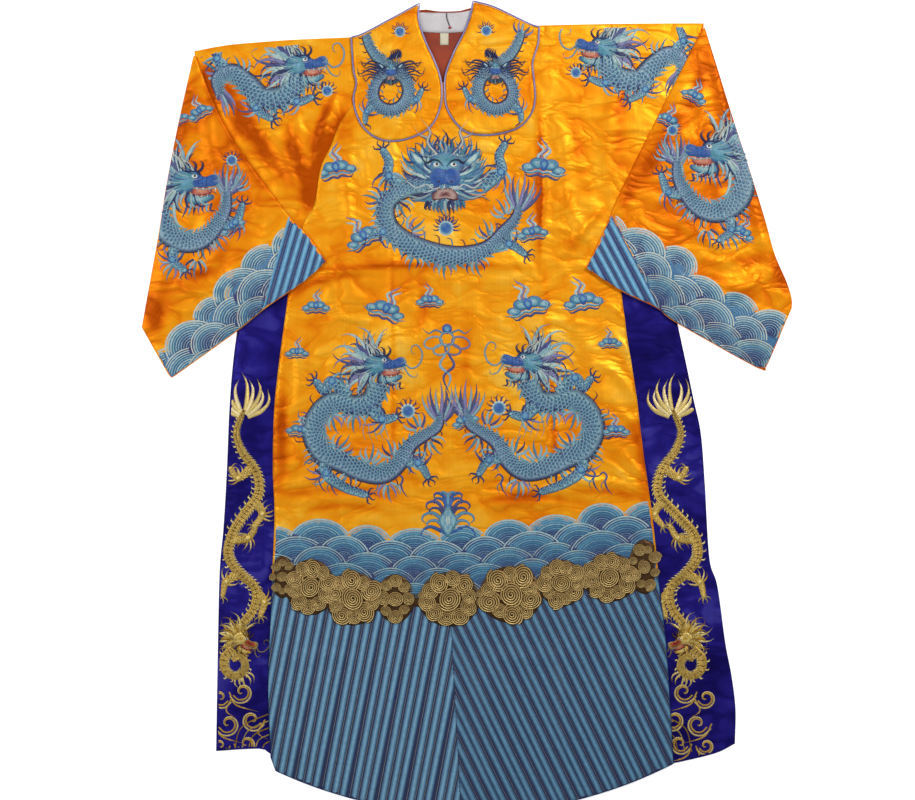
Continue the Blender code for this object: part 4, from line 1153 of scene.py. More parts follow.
def side_head(place, centre, size, turn):
    """A dragon's head from the side, facing right before it is turned. Its unit is the head's length."""
    thread = place.thread
    c, s = math.cos(math.radians(turn)), math.sin(math.radians(turn))
    blue = thread is BLUE_SET
    unit = size * place.unit
    manes = thread["mane"]
    brow = (INK, NAVY) if blue else thread["bar"]
    pale = (TEAL, MIST) if blue else thread["fin_tip"]

    def spots(*pairs):
        return place(*[
            (centre[0] + (x * c - y * s) * size, centre[1] + (x * s + y * c) * size) for x, y in pairs
        ])

    def sew(widths, tints, lift, *pairs, **more):
        stroke(
            place.work, spots(*pairs), [w * unit if w < 0.29 else w for w in widths], tints, lift=lift,
            **more,
        )

    def lock(x, y, angle, reach, bend, widths, tints, lift):
        a = math.radians(angle)
        sew(
            widths, tints, lift, (x, y),
            (x + reach * 0.45 * math.cos(a), y + reach * 0.45 * math.sin(a)),
            (x + reach * 0.8 * math.cos(a + bend), y + reach * 0.8 * math.sin(a + bend)),
            (x + reach * math.cos(a + bend * 2.2), y + reach * math.sin(a + bend * 2.2)),
        )

    for layer, (reach, count, lift) in enumerate(((0.72, 16, 0.4), (0.52, 14, 1.0), (0.36, 12, 1.7))):
        for k in range(count):
            angle = 78 + 178 * k / (count - 1)
            a = math.radians(angle)
            far = reach * (1 + 0.16 * math.sin(2.7 * k + layer))
            tints = manes[(k + layer) % len(manes)] if (k + layer) % 3 else pale
            lock(
                -0.06 + 0.22 * math.cos(a), 0.04 + 0.2 * math.sin(a), angle, far, 0.22 if k % 2 else -0.12,
                [0.085, 0.1, 0.06, 0.3], tints, lift + 0.1 * (k % 2),
            )
    for lean, reach in ((0.0, 1.0), (0.16, 0.86)):
        sew(
            [0.085, 0.07, 0.055, 0.4], thread["horn"], 2.2, (lean, 0.26), (lean - 0.1, 0.46 * reach),
            (lean - 0.24, 0.58 * reach), (lean - 0.24, 0.84 * reach),
        )
        sew(
            [0.05, 0.04, 0.3], thread["horn"], 2.2, (lean - 0.12, 0.5 * reach), (lean - 0.08, 0.66 * reach),
            (lean + 0.02, 0.78 * reach),
        )
    jaw = [
        (0.02, -0.18), (0.22, -0.24), (0.4, -0.22), (0.56, -0.18), (0.6, -0.26), (0.44, -0.36), (0.2, -0.4),
        (0.0, -0.34),
    ]
    patch(place.work, spots(*jaw), thread["jaw"], lift=1.0, rise=0.7)
    patch(
        place.work, spots((0.14, -0.04), (0.52, -0.06), (0.54, -0.17), (0.38, -0.22), (0.12, -0.22)),
        [INK, RED, CORAL], lift=1.1, rings=3, rise=0.4,
    )
    sew([0.055, 0.05, 0.4], (RED, CORAL), 1.6, (0.2, -0.15), (0.38, -0.18), (0.54, -0.13), (0.66, -0.2))
    skull = [
        (-0.3, -0.14), (-0.28, 0.12), (-0.12, 0.28), (0.08, 0.32), (0.26, 0.26), (0.34, 0.1), (0.18, -0.12),
        (-0.08, -0.22),
    ]
    patch(place.work, spots(*skull), thread["skull"], lift=1.2, rise=1.1)
    snout = [
        (0.1, 0.18), (0.26, 0.19), (0.4, 0.15), (0.52, 0.2), (0.64, 0.2), (0.7, 0.1), (0.66, -0.01),
        (0.46, -0.05), (0.26, -0.07), (0.1, -0.02),
    ]
    patch(place.work, spots(*snout), thread["snout"], lift=1.6, rise=0.8)
    for x in (0.26, 0.34, 0.42):
        sew([0.03, 0.026], brow, 2.5, (x + 0.02, 0.155), (x, 0.08), (x + 0.01, -0.02))
    sew([0.035, 0.05, 0.045, 0.3], pale, 2.2, (0.1, -0.07), (0.34, -0.09), (0.56, -0.07), (0.72, 0.03))
    sew([0.04, 0.05, 0.4], pale, 2.7, (0.56, 0.06), (0.66, 0.09), (0.65, 0.17), (0.57, 0.16))
    for x in (0.24, 0.36, 0.48, 0.6):
        sew([0.05, 0.3], (WHITE, WHITE, CREAM), 2.3, (x, -0.06), (x + 0.01, -0.15))
    for x in (0.22, 0.34, 0.46):
        sew([0.045, 0.3], (WHITE, WHITE, CREAM), 1.7, (x, -0.25), (x, -0.17))
    for k in range(7):
        lock(
            0.22 - 0.06 * k, 0.24 - 0.05 * k, 152 + 9 * k, 0.4, -0.2, [0.05, 0.075, 0.05, 0.3],
            manes[(k + 1) % len(manes)] if k % 2 else pale, 2.3 + 0.06 * k,
        )
    for k in range(8):
        tints = pale if k % 2 else brow
        lock(
            -0.14 + 0.055 * k, -0.08 - 0.02 * k, 186 + 17 * k, 0.34, 0.25, [0.075, 0.08, 0.05, 0.3], tints,
            1.7 + 0.05 * k,
        )
    eye(
        place, (centre[0] + (0.19 * c - 0.15 * s) * size, centre[1] + (0.19 * s + 0.15 * c) * size),
        size * 0.042, 2.5,
    )
    sew([0.05, 0.085, 0.06, 0.3], brow, 3.0, (0.31, 0.17), (0.21, 0.25), (0.06, 0.24), (-0.06, 0.34))
    sew(
        [0.03, 0.035, 0.3], (WHITE, WHITE, PALE) if blue else pale, 3.0, (0.3, 0.11), (0.18, 0.08),
        (0.08, 0.12),
    )
    for angle, x in ((96, 0.1), (74, 0.18), (50, 0.27)):
        lock(x, 0.25, angle, 0.22, 0.3, [0.07, 0.06, 0.3], brow, 2.9)
    for k in range(7):
        x = 0.06 + 0.08 * k
        sew(
            [0.06, 0.055, 0.3], manes[k % len(manes)], 0.8, (x, -0.36), (x - 0.02, -0.5),
            (x - 0.1 + 0.035 * k, -0.68 + 0.03 * k),
        )
    sew(
        [0.045, 0.05, 0.05, 0.045, 0.035, 0.5], thread["whisker"], 1.2, (0.66, 0.06), (0.8, -0.06),
        (0.98, 0.02), (1.06, 0.26), (0.96, 0.46), (0.82, 0.42), (0.84, 0.28), (0.92, 0.28),
    )
    sew([0.045, 0.045, 0.5], thread["whisker"], 1.0, (0.62, 0.02), (0.74, -0.2), (0.9, -0.26), (0.94, -0.14))


def pearl(place, centre, radius, flame_count=6, lift=0.6):
    """A flaming pearl."""
    for k in range(flame_count):
        heading = 90 + 150 * (k / (flame_count - 1) - 0.5)
        a = math.radians(heading)
        root = (centre[0] + radius * 0.7 * math.cos(a), centre[1] + radius * 0.7 * math.sin(a))
        flames(
            place, root, heading, 40, 2, radius * 1.5, radius * 0.7, [place.thread["pearl_flame"]], lift=lift,
        )
    place.disc(centre, radius, radius, place.thread["pearl"], lift=lift + 0.4, rise=1.4)


def cloud_knot(place, tail=26.0):
    """A small cloud of rolled lobes with a wavering tail above it."""
    width = 2.3 * place.unit
    for k, sway in enumerate((-3.6, 0.0, 3.6)):
        high = tail * (1 - 0.2 * abs(k - 1))
        path = [(sway + 0.5 * j + 3.4 * math.sin(1.05 * j), 5 + high * j / 8) for j in range(9)]
        place.sew(
            path, [width * 1.4, width * 1.6, width * 1.5, width * 1.2, 0.3],
            [(TEAL, MIST), (NAVY, LILAC), (SKY, MIST)][k], lift=0.2 + 0.1 * k,
        )
    lobes = [(-16, -3, 8.0, 4.6), (16, -3, 8.0, 4.6), (-7, 2, 9.0, 6.4), (7, 2, 9.0, 6.4)]
    for k, (x, y, across, up) in enumerate(lobes):
        side = -1 if x < 0 else 1
        place.disc((x, y), across, up, [NAVY, MID, TEAL, SKY, PALE], lift=0.3 + 0.2 * k, rise=0.7, rings=5)
        coil = spiral(
            (x, y), across * 0.72, across * 0.14, 1.0, -70 if side > 0 else 250, flip=side < 0, squash=0.66,
        )
        place.sew(
            coil, [width * 0.7, width * 0.8, width * 0.5], (NAVY, BRIGHT) if k > 1 else (PALE, WHITE),
            lift=1.0 + 0.2 * k, rise=0.3,
        )
    place.fill(
        [(0, 9), (6, 4), (4, -3), (0, -6), (-4, -3), (-6, 4)], [NAVY, BRIGHT, BRIGHT, SKY], lift=1.2,
        rise=0.6, rings=4,
    )
    for k, drop in enumerate((0, 4)):
        foot = [
            (-27 + 8 * k, -5 - drop), (-15, -9 - drop), (-5, -6 - drop), (0, -8 - drop), (5, -6 - drop),
            (15, -9 - drop), (27 - 8 * k, -5 - drop),
        ]
        place.sew(
            foot, [0.4, width * 1.2, width * 1.5, width * 1.5, width * 1.5, width * 1.2, 0.4],
            [(NAVY, SKY, PALE), (INK, PURPLE, NAVY)][k], lift=0.9 - 0.2 * k,
        )


def ribbon_knot(place):
    """A cloud tied in open loops under a small pearl, with a long fluttering end."""
    width = 2.2 * place.unit
    for k, (x, y, across, up) in enumerate(
        ((-12, 2, 8, 5), (12, 2, 8, 5), (-5, -4, 7, 4.5), (5, -4, 7, 4.5), (0, 5, 6, 6))
    ):
        loop = oval((x, y), across, up, 0.25 if x < 0 else -0.25, 16)
        place.sew([*loop, loop[0]], [width, width], [(NAVY, PALE), (INK, LILAC)][k % 2], lift=0.3 + 0.2 * k)
    place.disc((0, 14), 4.6, 4.6, [NAVY, BRIGHT, SKY], lift=0.6)
    for side in (-1, 1):
        place.sew(
            [(3 * side, 10), (10 * side, 13), (16 * side, 10), (22 * side, 15)], [width, width * 0.9, 0.3],
            (NAVY, TEAL), lift=0.4,
        )
        place.sew(
            [(1.5 * side, -8), (6 * side, -18), (-3 * side, -28), (3 * side, -44)],
            [width, width * 1.4, width, 0.3], [(MID, PALE), (NAVY, PURPLE)][side > 0], lift=0.5 + 0.2 * side,
        )


def wave_fan(work, centre, radius, lift, tilt, rings, over):
    """One wave of a sea band: arcs of floss over a filled ground, left out below the waves over it."""
    first, last = math.radians(-14 + tilt), math.radians(194 + tilt)

    def arc(reach, start, end, steps):
        return [
            (centre[0] + reach * math.cos(a), centre[1] + reach * SQUASH * math.sin(a))
            for a in np.linspace(start, end, steps)
        ]

    patch(
        work, arc(radius, first, last, 25), ["#3F86A4", "#2C6890", NAVY], lift=lift, rise=0.15, rings=3,
        hub=centre,
    )
    count = int(radius / ARC_SPACING)
    near = [fan for fan in over if math.dist(fan[0], centre) < fan[1] + radius]

    def hidden(x, y):
        for c, big, _, turn in near:
            aside, up = x - c[0], y - c[1]
            above = up * math.cos(math.radians(turn)) - aside * math.sin(math.radians(turn))
            if math.hypot(aside, up / SQUASH) < 0.975 * big and above > -0.2 * big:
                return True
        return False

    for k in range(count):
        tints = rings[min(len(rings) - 1, round(k * 11 / max(count, 1)))]
        run = []
        for spot in [*arc(radius * (1 - (k + 0.5) / count), last, first, 29), None]:
            if spot and not hidden(*spot):
                run.append(spot)
                continue
            if len(run) > 1:
                stroke(work, run, [4.6], tints, lift=lift + 0.1, rise=0.35, step=0.0065)
            run = []


def add(tree, kind, inputs=(), output=0, **settings):
    """Adds a node with its settings, sets or links its inputs, and gives back one of its outputs."""
    made = tree.nodes.new(kind)
    for name, value in settings.items():
        setattr(made, name, value)
    link(tree, made, inputs)
    return made.outputs[output] if made.outputs else made


def link(tree, node, inputs):
    """Sets each named input of a node, or links it where the value is another node's output."""
    for socket, value in dict(inputs).items():
        if isinstance(value, bpy.types.NodeSocket):
            tree.links.new(value, node.inputs[socket])
        else:
            node.inputs[socket].default_value = value


def blank(name):
    """A material with its tree, its shader and Object coordinates."""
    material = bpy.data.materials.new(name)
    material.use_nodes = True
    tree = material.node_tree
    return material, tree, tree.nodes["Principled BSDF"], add(tree, "ShaderNodeTexCoord", output="Object")


def opaque(hex_colour):
    return (*linear(hex_colour), 1)


def satin(name, tones, seed, line=0.0016, roughness=0.36, relief=0.009):
    """Rayon satin, woven with long floats, with light and shade painted into its tone: a broad gleam painted as
    bright patches, warm mid tones, painted shade along the creases of its bump and deep painted shade in the
    valleys of the heavy folds.
    """
    material, tree, shader, place = blank(name)
    weave = add(tree, "ShaderNodeUVMap", uv_map="weave")
    moved = add(tree, "ShaderNodeMapping", {"Vector": place, "Location": (seed, seed * 2, 0)})
    clouds = add(
        tree, "ShaderNodeTexNoise", {"Vector": moved, "Scale": 6.0, "Detail": 3.0, "Roughness": 0.55},
    )
    drawn = add(tree, "ShaderNodeMapping", {"Vector": moved, "Scale": (0.8, 1.35, 1)})
    folds = add(
        tree, "ShaderNodeTexNoise",
        {"Vector": drawn, "Scale": 17.0, "Detail": 2.5, "Roughness": 0.5, "Distortion": 0.5},
    )
    centred = add(tree, "ShaderNodeMath", {0: folds, 1: 0.5}, operation="SUBTRACT")
    ridged = add(tree, "ShaderNodeMath", {0: centred}, operation="ABSOLUTE")
    # Painted shade: the 'shade' attribute darkens the tone in the valleys of the heavy folds.
    shade = add(tree, "ShaderNodeAttribute", output="Fac", attribute_name="shade")
    # Painted shading of the bump's creases: darker along each crease line, lighter beside it.
    painted_crease_shading = add(tree, "ShaderNodeMapRange", {0: ridged, 1: 0.0, 2: 0.11, 3: -0.05, 4: 0.16})
    # Painted gleam: broad noise patches move the tone between painted shade and painted highlight, in place of
    # the satin's sheen.
    broad = add(tree, "ShaderNodeMapRange", {0: clouds, 1: 0.3, 2: 0.72, 3: 0.28, 4: 0.86})
    painted_light_tone = add(tree, "ShaderNodeMath", {0: broad, 1: painted_crease_shading}, operation="ADD")
    painted_light_tone = add(tree, "ShaderNodeMath", {0: painted_light_tone, 1: shade}, operation="SUBTRACT")
    ramp = tree.nodes.new("ShaderNodeValToRGB")
    ramp.color_ramp.elements[0].color = opaque(tones[0])
    ramp.color_ramp.elements[1].color = opaque(tones[-1])
    for k, tone in enumerate(tones[1:-1]):
        ramp.color_ramp.elements.new((k + 1) / (len(tones) - 1)).color = opaque(tone)
    link(tree, ramp, {0: painted_light_tone})
    streaks = add(tree, "ShaderNodeMapping", {"Vector": weave, "Scale": (260, 9, 1)})
    streak = add(tree, "ShaderNodeTexNoise", {"Vector": streaks, "Scale": 1.0, "Detail": 2.0})
    faint = add(tree, "ShaderNodeMapRange", {0: streak, 1: 0.3, 2: 0.7, 3: 0.0, 4: 0.16})
    tone = add(
        tree, "ShaderNodeMix", {0: faint, 6: ramp.outputs[0], 7: opaque(tones[1])}, 2, data_type="RGBA",
    )
    gleam = add(
        tree, "ShaderNodeMapRange", {0: clouds, 1: 0.3, 2: 0.7, 3: roughness + 0.06, 4: roughness - 0.03},
    )
    lines = add(
        tree, "ShaderNodeTexWave", {"Vector": weave, "Scale": LINES / line, "Distortion": 0.0, "Detail": 1.0},
        "Fac",
        wave_type="BANDS", bands_direction="X",
    )
    bump = add(tree, "ShaderNodeBump", {"Strength": 0.12, "Distance": FINE, "Height": lines})
    folded = add(
        tree, "ShaderNodeBump", {"Strength": 1.0, "Distance": relief, "Height": ridged, "Normal": bump},
    )
    link(tree, shader, {
        "Base Color": tone, "Roughness": gleam, "Normal": folded, "Metallic": 0.22, "Specular IOR Level": 0.5,
        "Specular Tint": opaque(tones[-1]), "Sheen Weight": 0.04, "Sheen Roughness": 0.35,
        "Sheen Tint": opaque(tones[-2]),
    })
    return material


def floss(name, metallic=0.0, roughness=0.42, stitch=0.0018, contrast=0.34):
    """Untwisted silk laid in satin stitch, or gold thread couched down: fine lines across each stroke."""
    material, tree, shader, place = blank(name)
    tone = add(tree, "ShaderNodeVertexColor", layer_name="floss")
    span = add(tree, "ShaderNodeUVMap", uv_map="stitch")
    slant = add(tree, "ShaderNodeMapping", {"Vector": span, "Rotation": (0, 0, math.radians(24))})
    lines = add(
        tree, "ShaderNodeTexWave",
        {"Vector": slant, "Scale": LINES / stitch, "Distortion": 0.6, "Detail": 1.0}, "Fac",
        wave_type="BANDS", bands_direction="X",
    )
    patchy = add(tree, "ShaderNodeTexNoise", {"Vector": place, "Scale": 160.0, "Detail": 2.0})
    grooves = add(tree, "ShaderNodeMapRange", {0: lines, 1: 0.0, 2: 1.0, 3: 1 - contrast, 4: 1.08})
    uneven = add(tree, "ShaderNodeMapRange", {0: patchy, 1: 0.3, 2: 0.7, 3: 0.86, 4: 1.12})
    for shade in (grooves, uneven):
        grey = add(tree, "ShaderNodeCombineColor", {0: shade, 1: shade, 2: shade})
        tone = add(
            tree, "ShaderNodeMix", {0: 1.0, 6: tone, 7: grey}, 2, data_type="RGBA", blend_type="MULTIPLY",
        )
    bump = add(tree, "ShaderNodeBump", {"Strength": 0.4, "Distance": FINE, "Height": lines})
    link(tree, shader, {
        "Base Color": tone, "Metallic": metallic, "Roughness": roughness, "Normal": bump,
        "Sheen Weight": 0.0 if metallic else 0.2,
    })
    return material


def plain_weave(name, light, deep, spacing, roughness=0.7):
    """Plain-woven cotton or silk: crossing threads, matt, with slight unevenness of tone."""
    material, tree, shader, place = blank(name)
    warp, weft = (
        add(
            tree, "ShaderNodeTexWave",
            {"Vector": place, "Scale": LINES / spacing, "Distortion": 0.0, "Detail": 1.0},
            "Fac", wave_type="BANDS", bands_direction=direction,
        ) for direction in "XY"
    )
    cross = add(tree, "ShaderNodeMath", {0: warp, 1: weft}, operation="MULTIPLY")
    blotch = add(tree, "ShaderNodeTexNoise", {"Vector": place, "Scale": 22.0, "Detail": 3.0})
    even = add(tree, "ShaderNodeMapRange", {0: blotch, 1: 0.3, 2: 0.7, 3: 0.0, 4: 1.0})
    tone = add(tree, "ShaderNodeMix", {0: even, 6: opaque(deep), 7: opaque(light)}, 2, data_type="RGBA")
    between = add(tree, "ShaderNodeMapRange", {0: cross, 1: 0.0, 2: 1.0, 3: 0.22, 4: 0.0})
    tone = add(tree, "ShaderNodeMix", {0: between, 6: tone, 7: opaque(deep)}, 2, data_type="RGBA")
    bump = add(tree, "ShaderNodeBump", {"Strength": 0.3, "Distance": FINE, "Height": cross})
    link(tree, shader, {"Base Color": tone, "Roughness": roughness, "Normal": bump})
    return material


def paper_floor():
    """A sheet of white studio paper, matt, with a trace of mottling."""
    material, tree, shader, place = blank("studio_paper")
    grain = add(tree, "ShaderNodeTexNoise", {"Vector": place, "Scale": 3.0, "Detail": 2.0})
    mottled = add(tree, "ShaderNodeMapRange", {0: grain, 1: 0.3, 2: 0.7, 3: 0.0, 4: 1.0})
    tone = add(
        tree, "ShaderNodeMix", {0: mottled, 6: opaque("#F6F6F6"), 7: opaque("#FCFCFC")}, 2, data_type="RGBA",
    )
    link(tree, shader, {
        "Base Color": tone, "Roughness": 0.9, "Emission Color": (1, 1, 1, 1), "Emission Strength": 0.62,
    })
    return material


# Repeated pieces, scattered by Geometry Nodes


def scatter_tree():
    """Puts a shape on each point, turned and sized by the point's own values, and gives it a material."""
    tree = bpy.data.node_groups.new("scatter", "GeometryNodeTree")
    for name, kind in (
        ("Geometry", "Geometry"), ("Shape", "Object"), ("Size", "Float"), ("Thread", "Material"),
    ):
        tree.interface.new_socket(name, in_out="INPUT", socket_type=f"NodeSocket{kind}")
    tree.interface.new_socket("Geometry", in_out="OUTPUT", socket_type="NodeSocketGeometry")
    given = tree.nodes.new("NodeGroupInput").outputs
    shape = add(tree, "GeometryNodeObjectInfo", {"Object": given["Shape"]}, "Geometry")
    turn = add(tree, "GeometryNodeInputNamedAttribute", {"Name": "turn"}, data_type="FLOAT")
    size = add(tree, "GeometryNodeInputNamedAttribute", {"Name": "size"}, data_type="FLOAT_VECTOR")
    angles = add(tree, "ShaderNodeCombineXYZ", {"Z": turn})
    scale = add(tree, "ShaderNodeVectorMath", {0: size, "Scale": given["Size"]}, operation="SCALE")
    on_points = {"Points": given["Geometry"], "Instance": shape, "Rotation": angles, "Scale": scale}
    placed = add(tree, "GeometryNodeInstanceOnPoints", on_points)
    real = add(tree, "GeometryNodeRealizeInstances", {"Geometry": placed})
    finished = add(tree, "GeometryNodeSetMaterial", {"Geometry": real, "Material": given["Thread"]})
    add(tree, "NodeGroupOutput", {"Geometry": finished})
    return tree


def scatter(name, tree, shape, spots, turns, sizes, thread, host=None):
    """One mesh of a shape repeated at many spots, laid on the cloth when a host is given."""
    mesh = bpy.data.meshes.new(name)
    mesh.from_pydata([tuple(spot) for spot in spots], [], [])
    turn = mesh.attributes.new("turn", "FLOAT", "POINT")
    turn.data.foreach_set("value", np.array(turns, np.float32))
    size = mesh.attributes.new("size", "FLOAT_VECTOR", "POINT")
    size.data.foreach_set("vector", np.array(sizes, np.float32).ravel())
    points = bpy.data.objects.new(name, mesh)
    bpy.context.scene.collection.objects.link(points)
    modifier = points.modifiers.new("scatter", "NODES")
    modifier.node_group = tree
    sockets = {item.name: item.identifier for item in tree.interface.items_tree if item.in_out == "INPUT"}
    modifier[sockets["Shape"]] = shape
    modifier[sockets["Size"]] = 1.0
    modifier[sockets["Thread"]] = thread
    graph = bpy.context.evaluated_depsgraph_get()
    made = bpy.data.meshes.new_from_object(points.evaluated_get(graph))
    points.modifiers.clear()
    points.data = made
    made.name = name
    if host:
        spots = np.zeros(len(made.vertices) * 3, np.float32)
        made.vertices.foreach_get("co", spots)
        spots = spots.reshape(-1, 3)
        spots[:, 2] += [host.height(float(x), float(y)) for x, y, _ in spots]
        made.vertices.foreach_set("co", spots.ravel())
        made.update()
    return points


def scale_shape(name, tints):
    """One scale, its free edge towards +X, of unit half width: pale at its rim, with a dark middle that is dark
    floss and also paints the shade between overlapping scales.
    """
    work = Work(None)
    angles = np.radians(np.linspace(-100, 100, 9))
    rows = []
    colours = []
    for share, high, tint in (
        (1.0, 0.1, tints[0]), (0.82, 0.34, tints[0]), (0.62, 0.3, tints[1]), (0.2, 0.12, tints[2]),
    ):
        rows.append([(share * math.cos(a) * 1.15, share * math.sin(a), high) for a in angles[::-1]])
        colours.append([linear(tint)] * len(angles))
    points = np.array(rows)
    points[0, :, 2] = -0.3
    spans = points[..., :2] * 0.003
    work.add_rows(points[:, ::-1], np.array(colours), spans[:, ::-1])
    return work.finish(name, sharp=80)


def coil_shape(name):
    """A couched coil of gold thread, of unit radius: rings of thread, each painted with a highlight on one half
    and a deeper tone on the other, and painted shade in the dark gaps between them.
    """
    work = Work(None)
    turns = 4.6
    steps = 78
    radius = np.linspace(0.93, 0.08, steps)
    angle = np.linspace(0, math.tau * turns, steps)
    line = np.column_stack([radius * np.cos(angle), radius * np.sin(angle)])
    left = sides_of(line)
    v = np.array([1.0, 0.45, -0.45, -1.0])
    spots = line[:, None] + left[:, None] * v[None, :, None] * 0.09
    high = np.array([-0.04, 0.13, 0.13, -0.04])[None] + (1 - radius)[:, None] * 0.1
    # Across the thread: painted shade at both edges for the gaps, a painted highlight on one half, a deeper tone
    # on the other.
    tints = np.array([linear(c) for c in ("#1A0C03", "#EBCB82", "#7A521E", "#1A0C03")])
    colour = np.broadcast_to(tints[None], (steps, 4, 3))
    marks = np.concatenate([[0], np.cumsum(np.hypot(*np.diff(line, axis=0).T))]) * 0.015
    span = np.stack(np.broadcast_arrays(marks[:, None], v[None] * 0.001), -1)
    work.add_rows(np.dstack([spots, high]), colour, span)
    return work.finish(name, sharp=80)


# Motifs of the robe, each laid out here in photograph pixels


def lower_dragon(place):
    """A coiled dragon looking out over its back."""
    leg(place, [(-30, 18), (-46, 34), (-54, 24), (-62, 34)], 150, 12)
    leg(place, [(-52, -34), (-52, -58), (-34, -72), (-12, -80)], -10, 12)
    leg(place, [(20, -46), (40, -48), (50, -62)], -60, 11)
    spine = [
        (0, 32), (-8, 14), (-24, 10), (-44, 14), (-60, 2), (-66, -18), (-56, -38), (-36, -48),
        (-14, -58), (6, -60), (22, -48), (33, -30), (48, -20), (60, -12), (63, 2),
    ]
    wisps(place, [
        (-68, -10, 170), (-60, -40, 215), (-30, -58, 250), (10, -70, 280), (34, -44, -30), (-34, 26, 110),
        (52, -26, -50),
        (-46, -2, -70), (-40, -34, 50), (-8, -46, 80), (14, -40, 110), (-24, 0, -90), (40, -12, 120),
    ])
    flames(place, (63, -4), 90, 62, 9, 38, 12, place.thread["tuft"], curl=0.12)
    body(place, spine, [19, 21, 20, 19, 19, 20, 21, 20, 19, 18, 17, 15, 13, 10, 7])
    leg(place, [(-8, 8), (4, -4), (18, -2)], 20, 12)
    for k in range(5):
        place.sew(
            [(-14 + 5 * k, -8), (-15 + 6 * k, -18), (-12 + 6 * k, -27)], [1.6, 1.8, 0.3], (MID, PALE),
            lift=0.2,
        )
    pearl(place, (30, 4), 7.5)
    side_head(place, (-2, 48), 44, 2)


def wisps(place, spots):
    """Clusters of short flames standing off the body."""
    for k, (x, y, heading) in enumerate(spots):
        manes = place.thread["mane"]
        flames(
            place, (x, y), heading, 70, 5, 19, 9,
            [manes[k % len(manes)], place.thread["fin_tip"], place.thread["fin"]], lift=0.2,
        )


def sleeve_dragon(place):
    """A great head looking along the sleeve, over a short coil of the body."""
    leg(place, [(-26, 34), (-40, 46), (-38, 60)], 100, 11)
    leg(place, [(22, -28), (40, -30), (52, -14)], 60, 11)
    leg(place, [(-22, -34), (-34, -52), (-24, -66)], -70, 11)
    wisps(
        place,
        [
            (-34, -30, 200), (-38, 4, 170), (0, -44, 270), (16, -40, 290), (34, -10, 20), (50, 6, 40),
            (-10, -60, 250), (-34, -58, 230),
        ],
    )
    flames(place, (40, 4), 62, 70, 9, 32, 12, place.thread["tuft"], curl=0.12)
    body(
        place,
        [(-12, 40), (-30, 26), (-36, 2), (-34, -22), (-18, -38), (2, -40), (20, -30), (34, -14), (40, 4)],
        [18, 21, 22, 22, 21, 19, 16, 12, 8],
    )
    pearl(place, (52, 34), 6.0)
    side_head(place, (-2, 22), 54, -16)


def chest_dragon(place):
    """A dragon seen from the front, its body curling below its head."""
    leg(place, [(-36, -20), (-56, -6), (-56, 8), (-62, 20)], 110, 12)
    leg(place, [(36, -18), (56, -2), (54, 14), (60, 26)], 70, 12)
    leg(place, [(-44, -70), (-62, -62), (-78, -66)], 190, 11)
    leg(place, [(44, -78), (64, -74), (80, -84)], -30, 11)
    spine = [
        (-16, -16), (-40, -20), (-58, -34), (-56, -56), (-38, -72), (-12, -82),
        (16, -85), (42, -78), (58, -62), (70, -48), (74, -34),
    ]
    wisps(place, [
        (-66, -30, 165), (-62, -58, 205), (-30, -84, 250), (0, -92, 270), (30, -90, 290), (62, -66, -40),
        (-46, -34, -60), (-34, -60, 40), (44, -66, 110), (60, -44, 120),
    ])
    flames(place, (74, -38), 80, 60, 9, 38, 12, place.thread["tuft"], curl=0.12)
    body(place, spine, [15, 17, 18, 19, 20, 20, 19, 17, 14, 11, 7], fin_side=-1)
    pearl(place, (1, -58), 8.0, flame_count=8)
    front_head(Place(place.work, 445, 166, 1.16))


